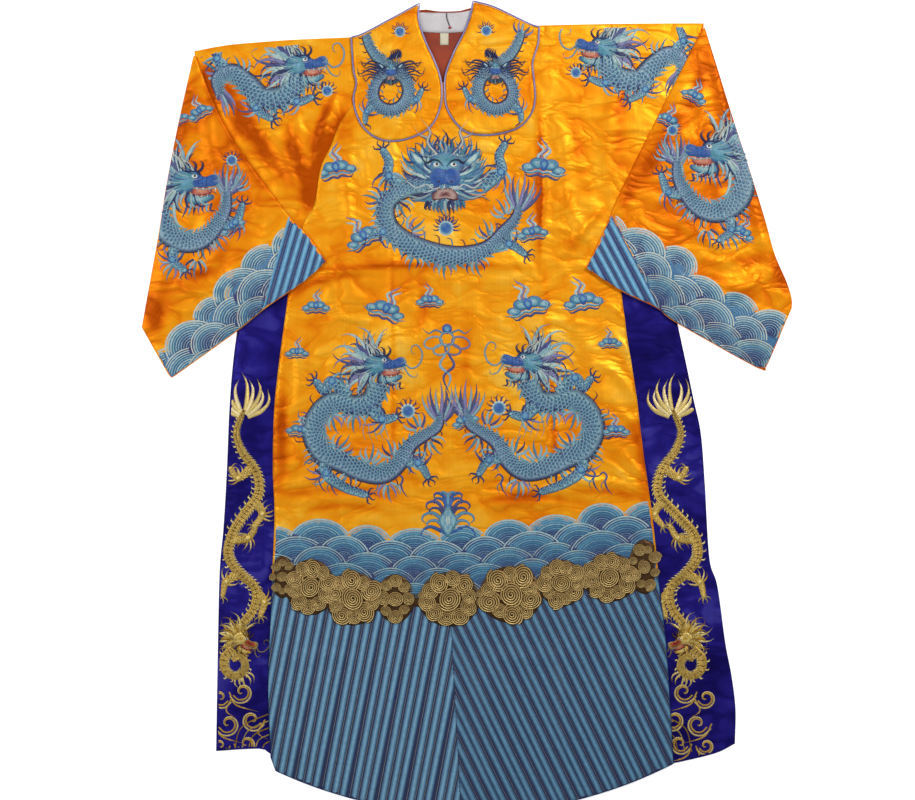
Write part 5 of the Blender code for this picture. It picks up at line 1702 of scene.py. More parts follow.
def front_head(place):
    """A dragon's face, seen from the front: brows and a broad snout in a mass of hair."""
    thread = place.thread
    unit = place.unit
    dark, pale = [(INK, NAVY), (NAVY, PURPLE, INK)], [
        (NAVY, TEAL, MIST), (NAVY, MID, PALE), (MID, TEAL, NAVY), (TEAL, MIST, MID),
    ]
    place.disc((0, -10), 30, 21, [NAVY, MID, TEAL], lift=0.2, rise=0.8, rings=4)
    for layer, (reach, count, lift) in enumerate(
        ((39, 40, 0.4), (33, 38, 0.9), (27, 34, 1.4), (21, 28, 1.9))
    ):
        for k in range(count):
            a = math.tau * (k + 0.5 * (layer % 2)) / count
            across, up = math.cos(a), math.sin(a)
            side = 1 if across > 0 else -1
            far = reach * (1 + 0.1 * math.sin(5.3 * k + 2 * layer)) * (
                0.92 + 0.16 * abs(across) - 0.14 * max(0.0, up) - 0.16 * max(0.0, -up)
            )
            path = [(8 * across, -8 + 8 * up)]
            for share, bend in ((0.5, -0.14), (0.8, 0.0), (1.0, 0.2)):
                path.append(
                    (far * share * math.cos(a + bend * side), -8 + far * share * math.sin(a + bend * side))
                )
            tints = dark[k % 2] if (k + layer) % 4 == 0 else pale[(k + layer) % 4]
            place.sew(path, [3.6 * unit, 5.0 * unit, 3.4 * unit, 0.4], tints, lift=lift + 0.06 * (k % 3))
    for side in (-1, 1):
        place.sew(
            mirrored([(7, 10), (15, 20), (13, 30), (22, 42)], side),
            [4.2 * unit, 3.6 * unit, 2.6 * unit, 0.4], thread["horn"], lift=2.6,
        )
        place.sew(
            mirrored([(14, 24), (22, 27), (27, 35)], side), [2.8 * unit, 2.2 * unit, 0.4], thread["horn"],
            lift=2.6,
        )
        place.fill(
            mirrored([(15, 2), (21, 8), (31, 14), (27, 4), (20, -1)], side), [NAVY, SKY, MIST], lift=2.4,
            rings=3, rise=0.5,
        )
        for k in range(5):
            flames(
                place, (side * (4 + 5 * k), 12 - 1.5 * k), 90 - side * (10 + 13 * k), 26, 2, 24 - 2.2 * k, 7,
                [(dark + pale)[(k + (side > 0)) % 6], (INK, BRIGHT)], lift=1.6,
            )
    skull = [
        (-15, -2), (-13, 8), (-6, 13), (0, 14), (6, 13), (13, 8), (15, -2), (11, -12), (0, -15), (-11, -12),
    ]
    place.fill(skull, thread["skull"], lift=2.4, rise=1.0)
    for k in range(5):
        flames(place, (3.0 * (2 - k), 9), 54 + 18 * k, 10, 1, 19 - 3 * abs(k - 2), 9, [pale[k % 4]], lift=3.3)
    mouth = [(-7, -19), (7, -19), (12, -25), (11, -30), (0, -28.5), (-11, -30), (-12, -25)]
    place.fill(mouth, [MAROON, MAROON, "#C4A89C", "#A07068", MAROON], lift=2.6, rise=0.6, rings=6)
    snout = [
        (-14, -5), (-9, 0), (0, -2), (9, 0), (14, -5), (15, -13), (9, -18.5), (0, -16.5), (-9, -18.5),
        (-15, -13),
    ]
    place.fill(snout, thread["snout"], lift=3.0, rise=1.0)
    for side in (-1, 1):
        place.disc((5.5 * side, -13.5), 2.2, 1.4, [MID, INK, INK], lift=3.8, rings=3, rise=0.2)
        place.sew(
            mirrored([(0, -3), (3, -8), (8, -10.5), (13, -8)], side), [0.8 * unit, 1.3 * unit, 0.4],
            (NAVY, SKY), lift=3.9,
        )
        eye(place, (7.4 * side, 1.0), 2.1, lift=3.2)
        place.sew(
            mirrored([(1.5, -0.5), (5, 3.8), (10, 5.2), (16, 2.6), (20, 7)], side),
            [2.0 * unit, 4.6 * unit, 4.8 * unit, 2.6 * unit, 0.4], (INK, INK, NAVY), lift=4.1,
        )
        place.sew(
            mirrored([(3, 7), (8, 9.5), (14, 8), (19, 11)], side), [1.0 * unit, 2.0 * unit, 1.6 * unit, 0.4],
            (PALE, WHITE), lift=4.0,
        )
        place.sew(
            mirrored([(3, -1.4), (8, -2.0), (13, 0.6)], side), [1.2 * unit, 1.8 * unit, 0.4],
            (WHITE, WHITE, PALE), lift=3.9,
        )
        place.sew(
            mirrored([(4, -18.5), (10, -20), (16, -16), (25, -19), (34, -13), (40, -17)], side),
            [2.6 * unit, 3.0 * unit, 2.4 * unit, 0.4], (TEAL, WHITE), lift=3.4,
        )
        place.sew(
            mirrored([(12, -24), (22, -28), (31, -26), (39, -30)], side), [2.6 * unit, 3.0 * unit, 0.4],
            (TEAL, MIST, NAVY), lift=3.2,
        )
        for x in (2.4, 6.4):
            place.sew(
                mirrored([(x, -19.5), (x + 0.2, -22.8)], side), [2.2 * unit, 0.3], (WHITE, WHITE, CREAM),
                lift=3.5,
            )
    for k in range(11):
        x = -15 + 3 * k
        place.sew(
            [(x, -30), (x * 1.15, -37), (x * 1.05 + 1.5, -44 + abs(x) * 0.5)], [3.4 * unit, 3.4 * unit, 0.4],
            (dark + pale)[k % 6], lift=2.2,
        )


def shoulder_dragon(place):
    leg(place, [(-30, -6), (-26, -26), (-12, -36)], -20, 10)
    leg(place, [(-52, 8), (-62, 20), (-58, 34)], 80, 10)
    flames(place, (-60, -12), -84, 60, 8, 30, 11, place.thread["tuft"], curl=0.12)
    wisps(place, [(-20, -22, 260), (-40, 6, 110), (-8, -22, 280), (-62, 8, 150)])
    body(
        place, [(14, 4), (0, -14), (-20, -16), (-34, -2), (-48, 8), (-62, 2), (-60, -14)],
        [18, 21, 21, 19, 16, 12, 8],
    )
    leg(place, [(-4, -12), (12, -20), (26, -16)], 12, 10)
    pearl(place, (40, -10), 5.5)
    side_head(place, (12, 12), 42, 4)


def collar_coil(place):
    """A small dragon curled in a ring, its tail drawn up towards the neck and its mane spread both ways."""
    leg(place, [(-14, -12), (-24, -20), (-26, -31)], -100, 8, 7)
    leg(place, [(15, -8), (25, -8), (31, 2)], 60, 8, 7)
    for k in range(12):
        a = math.radians(195 + 26 * k)
        flames(
            place, (20 * math.cos(a), -1 + 20 * math.sin(a)), 195 + 26 * k, 30, 2, 8, 6, [(NAVY, TEAL)],
            lift=0.2,
        )
    body(
        place,
        [
            (-27, 60), (-22, 46), (-13, 33), (2, 23), (14, 12), (17, -2), (10, -14), (-2, -18), (-14, -12),
            (-17, 1), (-10, 14), (2, 18),
        ],
        [7, 9, 10, 11, 12, 12, 12, 12, 12, 11, 10, 8],
    )
    flames(place, (-26, 58), 110, 80, 5, 16, 8, place.thread["tuft"])
    for side in (-1, 1):
        for k in range(7):
            y = 13 + 2.6 * k
            reach = (25, 30, 27, 31)[k % 4]
            path = [
                (2 * side, 22), (12 * side, y), (21 * side, y + 2), (reach * side, y - 3 + 3 * (k % 3)),
                ((reach + 3) * side, y + 3),
            ]
            place.sew(
                path, [5.0, 5.4, 4.2, 2.6, 0.4], [(INK, NAVY), (INK, PURPLE)][k % 2], lift=1.9 + 0.1 * k,
            )
    face = Place(place.work, 0, 0, 0.4)
    face.centre = place((0, 23))[0]
    front_head(face)
    for k in range(5):
        flames(place, (-6 + 3 * k, 33), 74 + 8 * k, 10, 1, 12, 8, [(INK, NAVY)], lift=1.8)
    pearl(place, (9, 60), 5.6, 5)


def comet(place):
    """A small solid wisp with a curled head."""
    place.sew(
        [(-5, 6), (-1, 10), (3, 6), (1, 0), (4, -8), (9, -13)], [1.5, 4.0, 5.0, 4.4, 2.6, 0.3],
        (NAVY, PURPLE, INK), lift=0.3,
    )
    place.sew([(2, 3), (-3, -3), (0, -10)], [2.4, 2.4, 0.3], (NAVY, TEAL, INK), lift=0.2)


def spray(place):
    """Foam thrown up over a rock among the waves: a pale diamond between fronds that curl outwards."""
    for tier, (base, reach, headings) in enumerate((
        (-20, 24, (16, 44)), (-11, 24, (30, 56)), (-3, 22, (44, 68)), (5, 17, (60, 82)),
    )):
        for side in (-1, 1):
            for k, heading in enumerate(headings):
                a = math.radians(heading)
                far = reach * (1.0, 0.88)[k]
                path = [(0, base)]
                for share, bend in ((0.45, 0.2), (0.78, 0.12), (1.0, -0.14), (1.02, -0.34), (0.84, -0.46)):
                    path.append(
                        (side * far * share * math.cos(a + bend), base + far * share * math.sin(a + bend))
                    )
                tints = [(INK, BRIGHT, NAVY), (NAVY, SKY), (INK, PURPLE, NAVY)][(k + tier) % 3]
                place.sew(path, [9, 9, 8, 6.4, 4.6, 1.0], tints, lift=0.4 + 0.15 * tier + 0.05 * k)
    place.fill(
        [(0, 12), (5, 2), (9, -8), (4, -19), (0, -24), (-4, -19), (-9, -8), (-5, 2)],
        [NAVY, TEAL, PALE, SKY, MIST], lift=1.2, rise=0.6, rings=5,
    )
    for x in (-4.5, 0, 4.5):
        path = [(x * 0.3, 9 - abs(x)), (x, 0), (x * 0.4, -7), (x, -13), (x * 0.3, -20 + abs(x))]
        place.sew(path, [1.2, 2.0, 2.0, 1.6, 0.6], (MID, BRIGHT), lift=2.0, rise=0.4)


DEEP_SEA = [
    (TEAL, MIST, MID), (MID, PALE), (MID, SKY), (TEAL, PALE, MID), (MID, TEAL), (TEAL, SKY, MID),
    (MID, TEAL, BRIGHT), (MID, SKY), (MID, TEAL, NAVY), (BRIGHT, MID, NAVY), (NAVY, BRIGHT), (INK, PURPLE),
]
PALE_SEA = [
    (TEAL, CREAM, MID), (SKY, MIST, MID), (TEAL, MIST, MID), (TEAL, PALE, MID), (SKY, MIST, TEAL),
    (TEAL, PALE, MID),
    (MID, PALE), (TEAL, PALE, MID), (MID, SKY), (MID, TEAL, NAVY), (NAVY, MID), (NAVY, PURPLE),
]


def wave_rows(work, upper, rows, drop, spacing, radius, tilt, rings):
    """Rows of waves below an upper edge, each row lying over the one above it."""
    edge, _ = even_path(spots_at(*upper), spacing)
    heading = math.radians(90 + tilt)
    ahead = np.array([math.cos(heading), math.sin(heading)])
    fans = []
    for row in range(rows):
        apexes = list(edge) if row % 2 == 0 else [(a + b) / 2 for a, b in zip(edge, edge[1:])]
        for k in (*range(0, len(apexes), 2), *range(1, len(apexes), 2)):
            size = radius * (1 + 0.14 * math.sin(2.4 * k + 1.7 * row))
            centre = apexes[k] - ahead * (row * drop + size * 0.88)
            lift = 0.2 + 0.5 * row + 0.25 * (k % 2)
            fans.append((centre, size, lift, tilt + 6 * math.sin(k * 1.9 + row)))
    for k, fan in enumerate(fans):
        wave_fan(work, *fan, rings, fans[k + 1:])


def ground(work, outline, tint, cell=0.007):
    """An even layer of stitches under the others."""
    spots, faces = flat_mesh(outline, cell)
    rim = np.arange(len(spots)) < len(outline)
    work.points.append(np.column_stack([spots, np.where(rim, -0.3 * MM, 0.5 * MM)]))
    work.tints.append(np.broadcast_to(linear(tint), (len(spots), 3)))
    work.spans.append(spots)
    work.faces.extend((faces + work.count).tolist())
    work.count += len(spots)


def stripes(work, first, across, count, lean, length, width, tones):
    """Padded stripes of floss side by side, each painted with a highlight along its crest and shade towards its
    edges, with a thin pale line between them.
    """
    dark, body_tone, bright, cream = tones
    # Painted light: each roll is dark at its edges, its body tone beside the crest and bright along the crest.
    for k in range(count):
        x, y = at(first[0] + across[0] * k, first[1] + across[1] * k)
        a = math.radians(lean + 0.3 * math.sin(k * 2.1))
        end = (x + length * math.sin(a), y - length * math.cos(a))
        aside = across[0] * PIXEL / 2
        stroke(
            work, [(x, y), end], [width], (dark, body_tone, bright, body_tone, dark), rise=1.3, lift=0.3,
            step=0.008, across=9,
        )
        stroke(
            work, [(x + aside, y), (end[0] + aside, end[1])], [1.5], (dark, cream), rise=0.5, lift=0.6,
            step=0.008,
        )


def couched_clouds(host, tree, shape, thread):
    """Rolls of gold thread laid in coils: a large one in each cloud with smaller ones round it."""
    spots, turns, sizes = [], [], []
    for index, (cx, cy, half_width, half_height) in enumerate(CLOUDS):
        rows = [(0.0, 0.0, 0.44)]
        count = 10 if half_width > 0.04 else 8
        for k in range(count):
            a = math.tau * (k + 0.3 * (index % 3)) / count
            out = 0.7 + 0.05 * math.sin(2 * k + index)
            rows.append((out * math.cos(a), out * math.sin(a), 0.35 + 0.07 * math.sin(3 * k + index)))
        for x, y, size in rows:
            radius = size * min(half_width, half_height)
            spots.append(
                (
                    cx + x * half_width, cy + y * half_height,
                    0.0006 + 0.0012 * (x == 0) + 0.0003 * (len(spots) % 3),
                )
            )
            turns.append(index + 7 * x)
            sizes.append((radius * 1.12, radius, 0.01))
    joins = [(CLOUDS[k][0] + CLOUDS[k + 1][0]) / 2 for k in range(len(CLOUDS) - 1)]
    for k, x in enumerate(joins):
        y = (CLOUDS[k][1] + CLOUDS[k + 1][1]) / 2
        for rise in (-0.008, 0.007):
            spots.append((x, y + rise, 0.0004))
            turns.append(k)
            sizes.append((0.0085, 0.0075, 0.008))
    return scatter("cloud_coils", tree, shape, spots, turns, sizes, thread, host)


def panel_work(work, side):
    """A winding gold dragon above curling waves."""
    flip = side == "right"
    place = Place(work, 686 if flip else 240, 560, flip=flip, thread=GOLD_SET)
    lean = 9 if flip else 0
    spine = [
        (4 + lean, 150), (-4 + lean, 128), (2 + lean, 108), (16 + lean, 88), (18 + lean, 66),
        (4 + lean * 0.6, 46),
        (-8, 26), (-12, 4), (0, -14), (15, -28), (14, -48), (2, -64),
    ]
    limbs = (
        ((12 + lean, 92), (-2 + lean, 82), (-10 + lean, 92), -20),
        ((14 + lean, 60), (22 + lean, 46), (14 + lean, 34), -130),
        ((-8, 20), (8, 22), (16, 34), 70), ((0, -14), (-14, -22), (-18, -36), -100),
        ((15, -30), (24, -42), (20, -56), -80),
    )
    flames(
        place, (4 + lean, 146), 90, 84, 9, 42, 13, [(OLD_GOLD, PALE_GOLD, GOLD), (GOLD, "#F3E6B4", GOLD)],
        curl=0.3,
    )
    for root, elbow, paw, heading in limbs:
        leg(place, [root, elbow, paw], heading, 8, 6.5)
    body(place, spine, [4, 5.5, 7, 8, 8.8, 8.8, 8.8, 8.8, 8.8, 8.4, 8, 7.6])
    place.sew(spine, [1.6, 2.2, 2.2, 1.6], (DARK_GOLD, "#3A2A3A", DARK_GOLD), lift=2.6, rise=0.2)
    side_head(place, (0, -80), 27, -28)
    loop = [(-6, -88), (-16, -98), (-14, -112), (-2, -116), (6, -106), (0, -96), (-8, -100)]
    body(place, loop, [9, 8, 8, 7, 7, 6, 5])
    flames(place, (2, -114), -70, 60, 5, 18, 7, place.thread["tuft"], curl=0.35)
    foot = -140
    swell = [
        (-20, 2, 12, 0), (2, 8, 13, 1), (-12, -24, 14, 1), (12, -20, 13, 0), (-20, -46, 10, 0),
        (6, -44, 12, 1),
    ]
    for k, (x, y, radius, turned) in enumerate(swell):
        for ring, tints in ((1.0, (OLD_GOLD, PALE_GOLD)), (0.72, (DARK_GOLD, GOLD, OLD_GOLD))):
            path = spiral((x, foot + y), radius * ring, 1.0, 1.25, 200 if turned else -20, flip=not turned)
            place.sew(path, [3.6, 4.2, 2.2], tints, lift=0.2 + 0.1 * (ring < 1), rise=0.7)
        tail = [
            (x + (radius if not turned else -radius), foot + y),
            (x + (6 if not turned else -6), foot + y - 13), (x + 16, foot + y - 20),
        ]
        place.sew(tail, [3.4, 3.6, 0.4], (OLD_GOLD, GOLD), lift=0.2)
    for k in range(5):
        reach = 12 + 7 * k
        path = [
            (34 - reach, foot - 52), (34 - reach * 0.8, foot - 52 + reach * 0.62), (34, foot - 52 + reach),
        ]
        place.sew(path, [2.6, 3.2], (OLD_GOLD, PALE_GOLD) if k % 2 else (DARK_GOLD, GOLD), lift=0.9)


# The scene

make_camera()
scene = bpy.context.scene
scene.view_settings.view_transform = "Standard"
world = bpy.data.worlds.new("studio")
world.use_nodes = True
world.node_tree.nodes["Background"].inputs[0].default_value = (0.92, 0.95, 1.0, 1)
world.node_tree.nodes["Background"].inputs[1].default_value = 0.38
scene.world = world
area_light("window_light", (1.2, 1.5, 2.2), (0.9, 0.9), 44, (1.0, 0.98, 0.95))
area_light("side_light", (-1.9, 0.5, 1.9), (0.7, 1.6), 22, (0.97, 0.98, 1.0))
floor_mesh = bpy.data.meshes.new("floor")
floor_corners = [
    (x * FLOOR_HALF, y * FLOOR_HALF, -FLOOR_DROP) for x, y in ((-1, -1), (1, -1), (1, 1), (-1, 1))
]
floor_mesh.from_pydata(floor_corners, [], [(0, 1, 2, 3)])
floor_mesh.materials.append(paper_floor())
floor = bpy.data.objects.new("floor", floor_mesh)
scene.collection.objects.link(floor)

# Each satin's tones run from its painted shade to its painted highlight.
orange = satin("orange_silk_satin", ["#B24000", "#E06A06", "#F4930E", "#FCAE20", "#FFC848"], 1.0)
navy = satin("navy_silk_satin", ["#080420", "#110A46", "#191260", "#272080", "#4A46A4"], 4.0, relief=0.005)
sea_ground = satin(
    "deep_blue_silk_ground", ["#0C1636", "#132250", "#1A2C62", "#203670", "#2A4484"], 6.0, relief=0.003,
)
# The lining's red-orange is deepened to paint the shade inside the neck opening.
lining = plain_weave("red_orange_cotton_lining", "#A63C14", "#7C270A", 0.0022)
white = plain_weave("white_cotton_lining", "#DEDADA", "#BDB8BA", 0.0018, 0.8)
tape = plain_weave("cream_woven_tape", "#E2DAC2", "#C8BFA4", 0.0016)
lilac = satin(
    "lilac_bias_binding", ["#4C4A7C", "#6A679A", "#8480B0", "#9590BC", "#A8A4CA"], 2.0, 0.0012, 0.45, 0.002,
)
cord_thread = plain_weave("dark_braided_cord", "#34343A", "#1E1E24", 0.0012)
red_thread = plain_weave("red_wound_thread", "#C22A22", "#8E1713", 0.001)
silk = floss("silk_floss")
padded_silk = floss("padded_silk_stripes", contrast=0.16)
gold = floss("couched_gold_thread", metallic=0.55, roughness=0.42, stitch=0.0014, contrast=0.3)


def place_piece(piece, node):
    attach(piece, "root")
    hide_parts(node)


def heights(node, creases, calm, seed, rough, soft=0.01):
    field = soften(carried_out(cast(node)), soft)

    def top_at(x, y):
        lift = CREASE_GAIN * crease_heights(x, y, creases) + crumple(x, y, 0.055, rough, seed) + rough * 0.5
        lift = np.maximum(lift, -0.1 * MM)
        return sample(field, x, y) + lift * sample(calm, x, y)

    return top_at


# Each cloth on its solid's form
back = cloth(
    "back_lining", back_outline(BACK_CELL), lambda x, y: np.full(len(x), BACK_WALL), BACK_WALL, lining,
    BACK_CELL,
)
place_piece(back, "back")
front_calm = calm_field("sleeve_left", "sleeve_right", "collar_left", "collar_right", "gold_cloud_band")
front = cloth(
    "front_panel", front_outline(FRONT_CELL), heights("front", FRONT_CREASES, front_calm, 3.0, 0.0007),
    FRONT_WALL, orange, FRONT_CELL, smooth(SHOULDER["right"], 0.004),
)
# Painted shade in the valleys of the front's folds.
give_shade(front, FRONT_VALLEYS)
front.data.materials.append(sea_ground)
band_x, band_y = np.array(spots_at(*BAND_LINE)).T
for face in front.data.polygons:
    if face.center.y < np.interp(face.center.x, band_x, band_y):
        face.material_index = 1
place_piece(front, "front")
under_calm = calm_field("sleeve_left", "collar_left", "front")
under = cloth(
    "under_front_panel", under_front_outline(FRONT_CELL),
    heights("under_front", UNDER_CREASES, under_calm, 5.0, 0.0006),
    UNDER_WALL, orange, FRONT_CELL, smooth(SHOULDER["left"], 0.004),
)
# Painted shade in the valleys of the under front's folds.
give_shade(under, UNDER_VALLEYS)
place_piece(under, "under_front")
sheets = {"front": front, "under": under, "back": back}
for side in ("left", "right"):
    none_over = np.ones(GRID_SHAPE)
    low_field = soften(carried_out(cast(f"sleeve_{side}", False)), 0.01)
    tube = sleeve(
        f"sleeve_{side}_cloth", side, heights(f"sleeve_{side}", SLEEVE_CREASES[side], none_over, 8.0, 0.0007),
        lambda x, y, low=low_field: sample(low, x, y), orange,
    )
    give_weave(tube, math.radians(-35 if side == "left" else 35))
    # Painted shade in the sleeve's valleys, over an even painted shade that deepens the right sleeve more than
    # the left.
    give_shade(tube, SLEEVE_VALLEYS[side], 0.14 if side == "left" else 0.26)
    place_piece(tube, f"sleeve_{side}")
    panel_calm = calm_field("front", f"sleeve_{side}")
    panel = cloth(
        f"side_panel_{side}_cloth", panel_outline(side, PANEL_CELL),
        heights(f"side_panel_{side}", PANEL_CREASES[side], panel_calm, 9.0, 0.0005), BACK_WALL, navy,
        PANEL_CELL,
    )
    place_piece(panel, f"side_panel_{side}")
    lobe = cloth(
        f"collar_{side}_cloth", lobe_outline(side, COLLAR_CELL),
        heights(f"collar_{side}", [], none_over, 2.0, 0.0002, 0.005), COLLAR_WALL, orange, COLLAR_CELL,
    )
    place_piece(lobe, f"collar_{side}")
    sheets.update({f"sleeve_{side}": tube, f"panel_{side}": panel, f"collar_{side}": lobe})
band = cloth(
    "cloud_band_ground", cloud_outline(0.004),
    heights("gold_cloud_band", [], np.zeros(GRID_SHAPE), 1.0, 0.0, 0.006),
    0.0014, gold, 0.005,
)
band_tint = band.data.color_attributes.new("floss", "FLOAT_COLOR", "POINT")
band_tint.data.foreach_set(
    "color", np.tile([*linear(DARK_GOLD), 1.0], len(band.data.vertices)).astype(np.float32),
)
place_piece(band, "gold_cloud_band")
sheets["band"] = band
hosts = {name: Host(piece) for name, piece in sheets.items() if name != "back"}

# Small plain pieces
neck = cloth(
    "neck_lining_cloth", join(smooth(LINING_TOP, 0.004), smooth(LINING_FOOT, 0.004)), lambda x,
    y: np.full(len(x), LINING_HIGH), LINING_WALL, white, 0.005,
)
place_piece(neck, "neck_lining")
sheets["neck"] = neck


def rod(name, route, radius, closed, finish, around=10):
    """A round cord or rolled binding along a route, with closed ends."""
    line = np.array(route)
    if closed:
        ahead = np.roll(line, -1, 0) - np.roll(line, 1, 0)
    else:
        ahead = np.gradient(line, axis=0)
    ahead /= np.linalg.norm(ahead, axis=1)[:, None]
    side = np.column_stack([-ahead[:, 1], ahead[:, 0], np.zeros(len(line))])
    side /= np.linalg.norm(side, axis=1)[:, None]
    up = np.cross(ahead, side)
    turns = np.linspace(0, math.tau, around, endpoint=False)
    points = [
        tuple(spot + radius * (math.cos(a) * s + math.sin(a) * u))
        for spot, s, u in zip(line, side, up) for a in turns
    ]
    faces = []
    last = len(line) if closed else len(line) - 1
    for k in range(last):
        for j in range(around):
            a, b = k * around + j, k * around + (j + 1) % around
            after = ((k + 1) % len(line)) * around
            faces.append([a, b, after + (j + 1) % around, after + j])
    if not closed:
        faces.append(list(range(around))[::-1])
        faces.append([(len(line) - 1) * around + j for j in range(around)])
    piece = new_piece(name, points, faces, finish, sharp=70)
    give_weave(piece)
    return piece


tab = cloth(
    "neck_tab_cloth", join(*[
        [(TAB_CENTRE[0] + x * TAB_SIZE[0] / 2, TAB_CENTRE[1] + y * TAB_SIZE[1] / 2)]
        for x, y in ((-1, -1), (0, -1), (1, -1), (1, 0), (1, 1), (0, 1), (-1, 1), (-1, 0))
    ]), lambda x, y: np.full(len(x), TAB_HIGH), TAB_SIZE[2], tape, 0.003,
)
place_piece(tab, "neck_tab")
sheets["tab"] = tab
tie_height = LINING_HIGH + SEAM_GAP
tie = rod(
    "tie_cord_loop", [(x, y, tie_height + CORD_RADIUS) for x, y in smooth(CORD_ROUTE, 0.001)], CORD_RADIUS,
    False, cord_thread,
)
place_piece(tie, "tie_cord")
knot_bm = bmesh.new()
bmesh.ops.create_uvsphere(knot_bm, u_segments=32, v_segments=18, radius=KNOT_RADIUS)
for vert in knot_bm.verts:
    wound = 1 + 0.07 * math.sin(9 * math.atan2(vert.co.y, vert.co.x) + 1100 * vert.co.z)
    vert.co.x *= wound
    vert.co.y *= wound
    vert.co.z *= 0.7
bmesh.ops.translate(knot_bm, verts=knot_bm.verts[:], vec=(*KNOT_CENTRE, tie_height + KNOT_RADIUS * 0.7))
knot_mesh = bpy.data.meshes.new("tie_knot_wound")
knot_bm.to_mesh(knot_mesh)
knot_mesh.materials.append(red_thread)
knot_mesh.shade_smooth()
knot = bpy.data.objects.new("tie_knot_wound", knot_mesh)
scene.collection.objects.link(knot)
place_piece(knot, "tie_knot")
for side in ("left", "right"):
    edge = lobe_outline(side, 0.003)
    middle = offset_run(edge, -(BINDING_RADIUS + SEAM_GAP), closed=True)
    height = ON_FRONT_HIGH + BINDING_RADIUS
    binding = rod(
        f"collar_binding_{side}_roll", [(x, y, height) for x, y in middle], BINDING_RADIUS, True, lilac,
    )
    place_piece(binding, f"collar_binding_{side}")

# Embroidery
scatter_nodes = scatter_tree()
blue_scale = scale_shape("blue_scale", BLUE_SET["scale"])
gold_scale = scale_shape("gold_scale", GOLD_SET["scale"])
coil = coil_shape("gold_coil")
stitched = []


def lay(work, name, node, material, border, scale=None):
    """Finishes a stretch of embroidery within a border, and the dragon scales on it."""
    work.cut(border)
    made = [work.finish(name, material)]
    if work.scales and scale:
        rows = work.scales
        spots = [(x, y, z) for x, y, z, *_ in rows]
        sizes = [(size, size, 0.0016) for *_, size in rows]
        made.append(
            scatter(
                f"{name}_scales", scatter_nodes, scale, spots, [row[3] for row in rows], sizes, material,
                work.host,
            )
        )
    for piece in made:
        place_piece(piece, node)
    stitched.extend(made)
    return made


front_edge = offset_run(front_outline(0.015), 0.003, closed=True)
chest = Work(hosts["front"])
for px, py, size, turn, flip in (
    (386, 309, 1.0, -20, False), (528, 305, 1.1, 15, True), (316, 306, 0.7, 0, False),
    (583, 300, 1.0, 10, True),
    (336, 168, 1.0, 10, False), (364, 236, 1.0, 30, True), (544, 166, 1.1, -8, True),
    (532, 232, 0.8, 10, False),
    (297, 352, 0.6, 0, False), (610, 342, 0.6, 0, True), (430, 300, 0.7, 0, True),
    (465, 420, 0.7, 20, True), (300, 430, 0.7, -10, False), (616, 430, 0.7, 0, True),
):
    cloud_knot(Place(chest, px, py, size * 0.86, turn, flip))
ribbon_knot(Place(chest, 447, 345, 1.15))
for px, py in ((318, 480), (330, 484), (592, 480), (604, 482), (400, 485), (500, 484)):
    comet(Place(chest, px, py))
lower_dragon(Place(chest, 378, 415))
lower_dragon(Place(chest, 529, 412, flip=True))
chest_dragon(Place(chest, 445, 170))
shoulder_dragon(Place(chest, 618, 62, 1.05, flip=True))
lay(chest, "front_motifs", "front", silk, front_edge, blue_scale)

waves = Work(hosts["front"])
upper = [
    (274, 526), (300, 517), (330, 520), (360, 524), (417, 528), (470, 524), (520, 518), (574, 512),
    (607, 502), (650, 501),
]
ground(waves, join([at(x, y + 14) for x, y in upper], spots_at(*BAND_LINE[::-1])), NAVY)
spray(Place(waves, 448, 513, 1.08))
wave_rows(waves, upper, 5, 0.024, 0.082, 0.054, 0, DEEP_SEA)
waves.cut(join([at(x, y - 40) for x, y in upper], spots_at(*BAND_LINE[::-1])))
lay(waves, "front_waves", "front", silk, front_edge)

skirt = Work(hosts["front"])
left_skirt = spots_at(*(*BAND_LINE[:4], (451, 624), (462, 830), (262, 830)))
right_skirt = spots_at(*(*BAND_LINE[3:], (700, 830), (462, 830), (451, 624)))
ground(skirt, join(spots_at(*BAND_LINE), [at(700, 830), at(262, 830)]), DEEP)
# Each half's tones are edge shade, body, crest highlight and the pale line; the right half's are darker, painted
# shade for stitches laid the other way, which catch less light.
for region, lean, first, step, count, tones in (
    (left_skirt, -11, (524, 560), (-9.6, 0), 28, ("#10233F", "#4A7FA4", "#7FABC2", "#B9B7A4")),
    (right_skirt, 26, (338, 560), (9.9, 0), 38, ("#0C1A34", "#37698E", "#6493AE", "#98968A")),
):
    half = Work(hosts["front"])
    stripes(half, first, step, count, lean, 0.5, 12.6, tones)
    half.cut(region)
    skirt.take(half)
lay(
    skirt, "skirt_stripes", "front", padded_silk,
    offset_run(front_outline(0.015), 0.0012, closed=True),
)

under_seen = line(
    -206, 644, -296, 638, -423, 628, -472, 616, -443, 545, -407, 472, -350, 391, -310, 342, -296, 326,
    -277, 358, -266, 420, -247, 463, -230, 505, -207, 540,
)
shoulder = Work(hosts["under"])
shoulder_dragon(Place(shoulder, 284, 80, 1.08))
lay(shoulder, "shoulder_motif", "under_front", silk, under_seen, blue_scale)

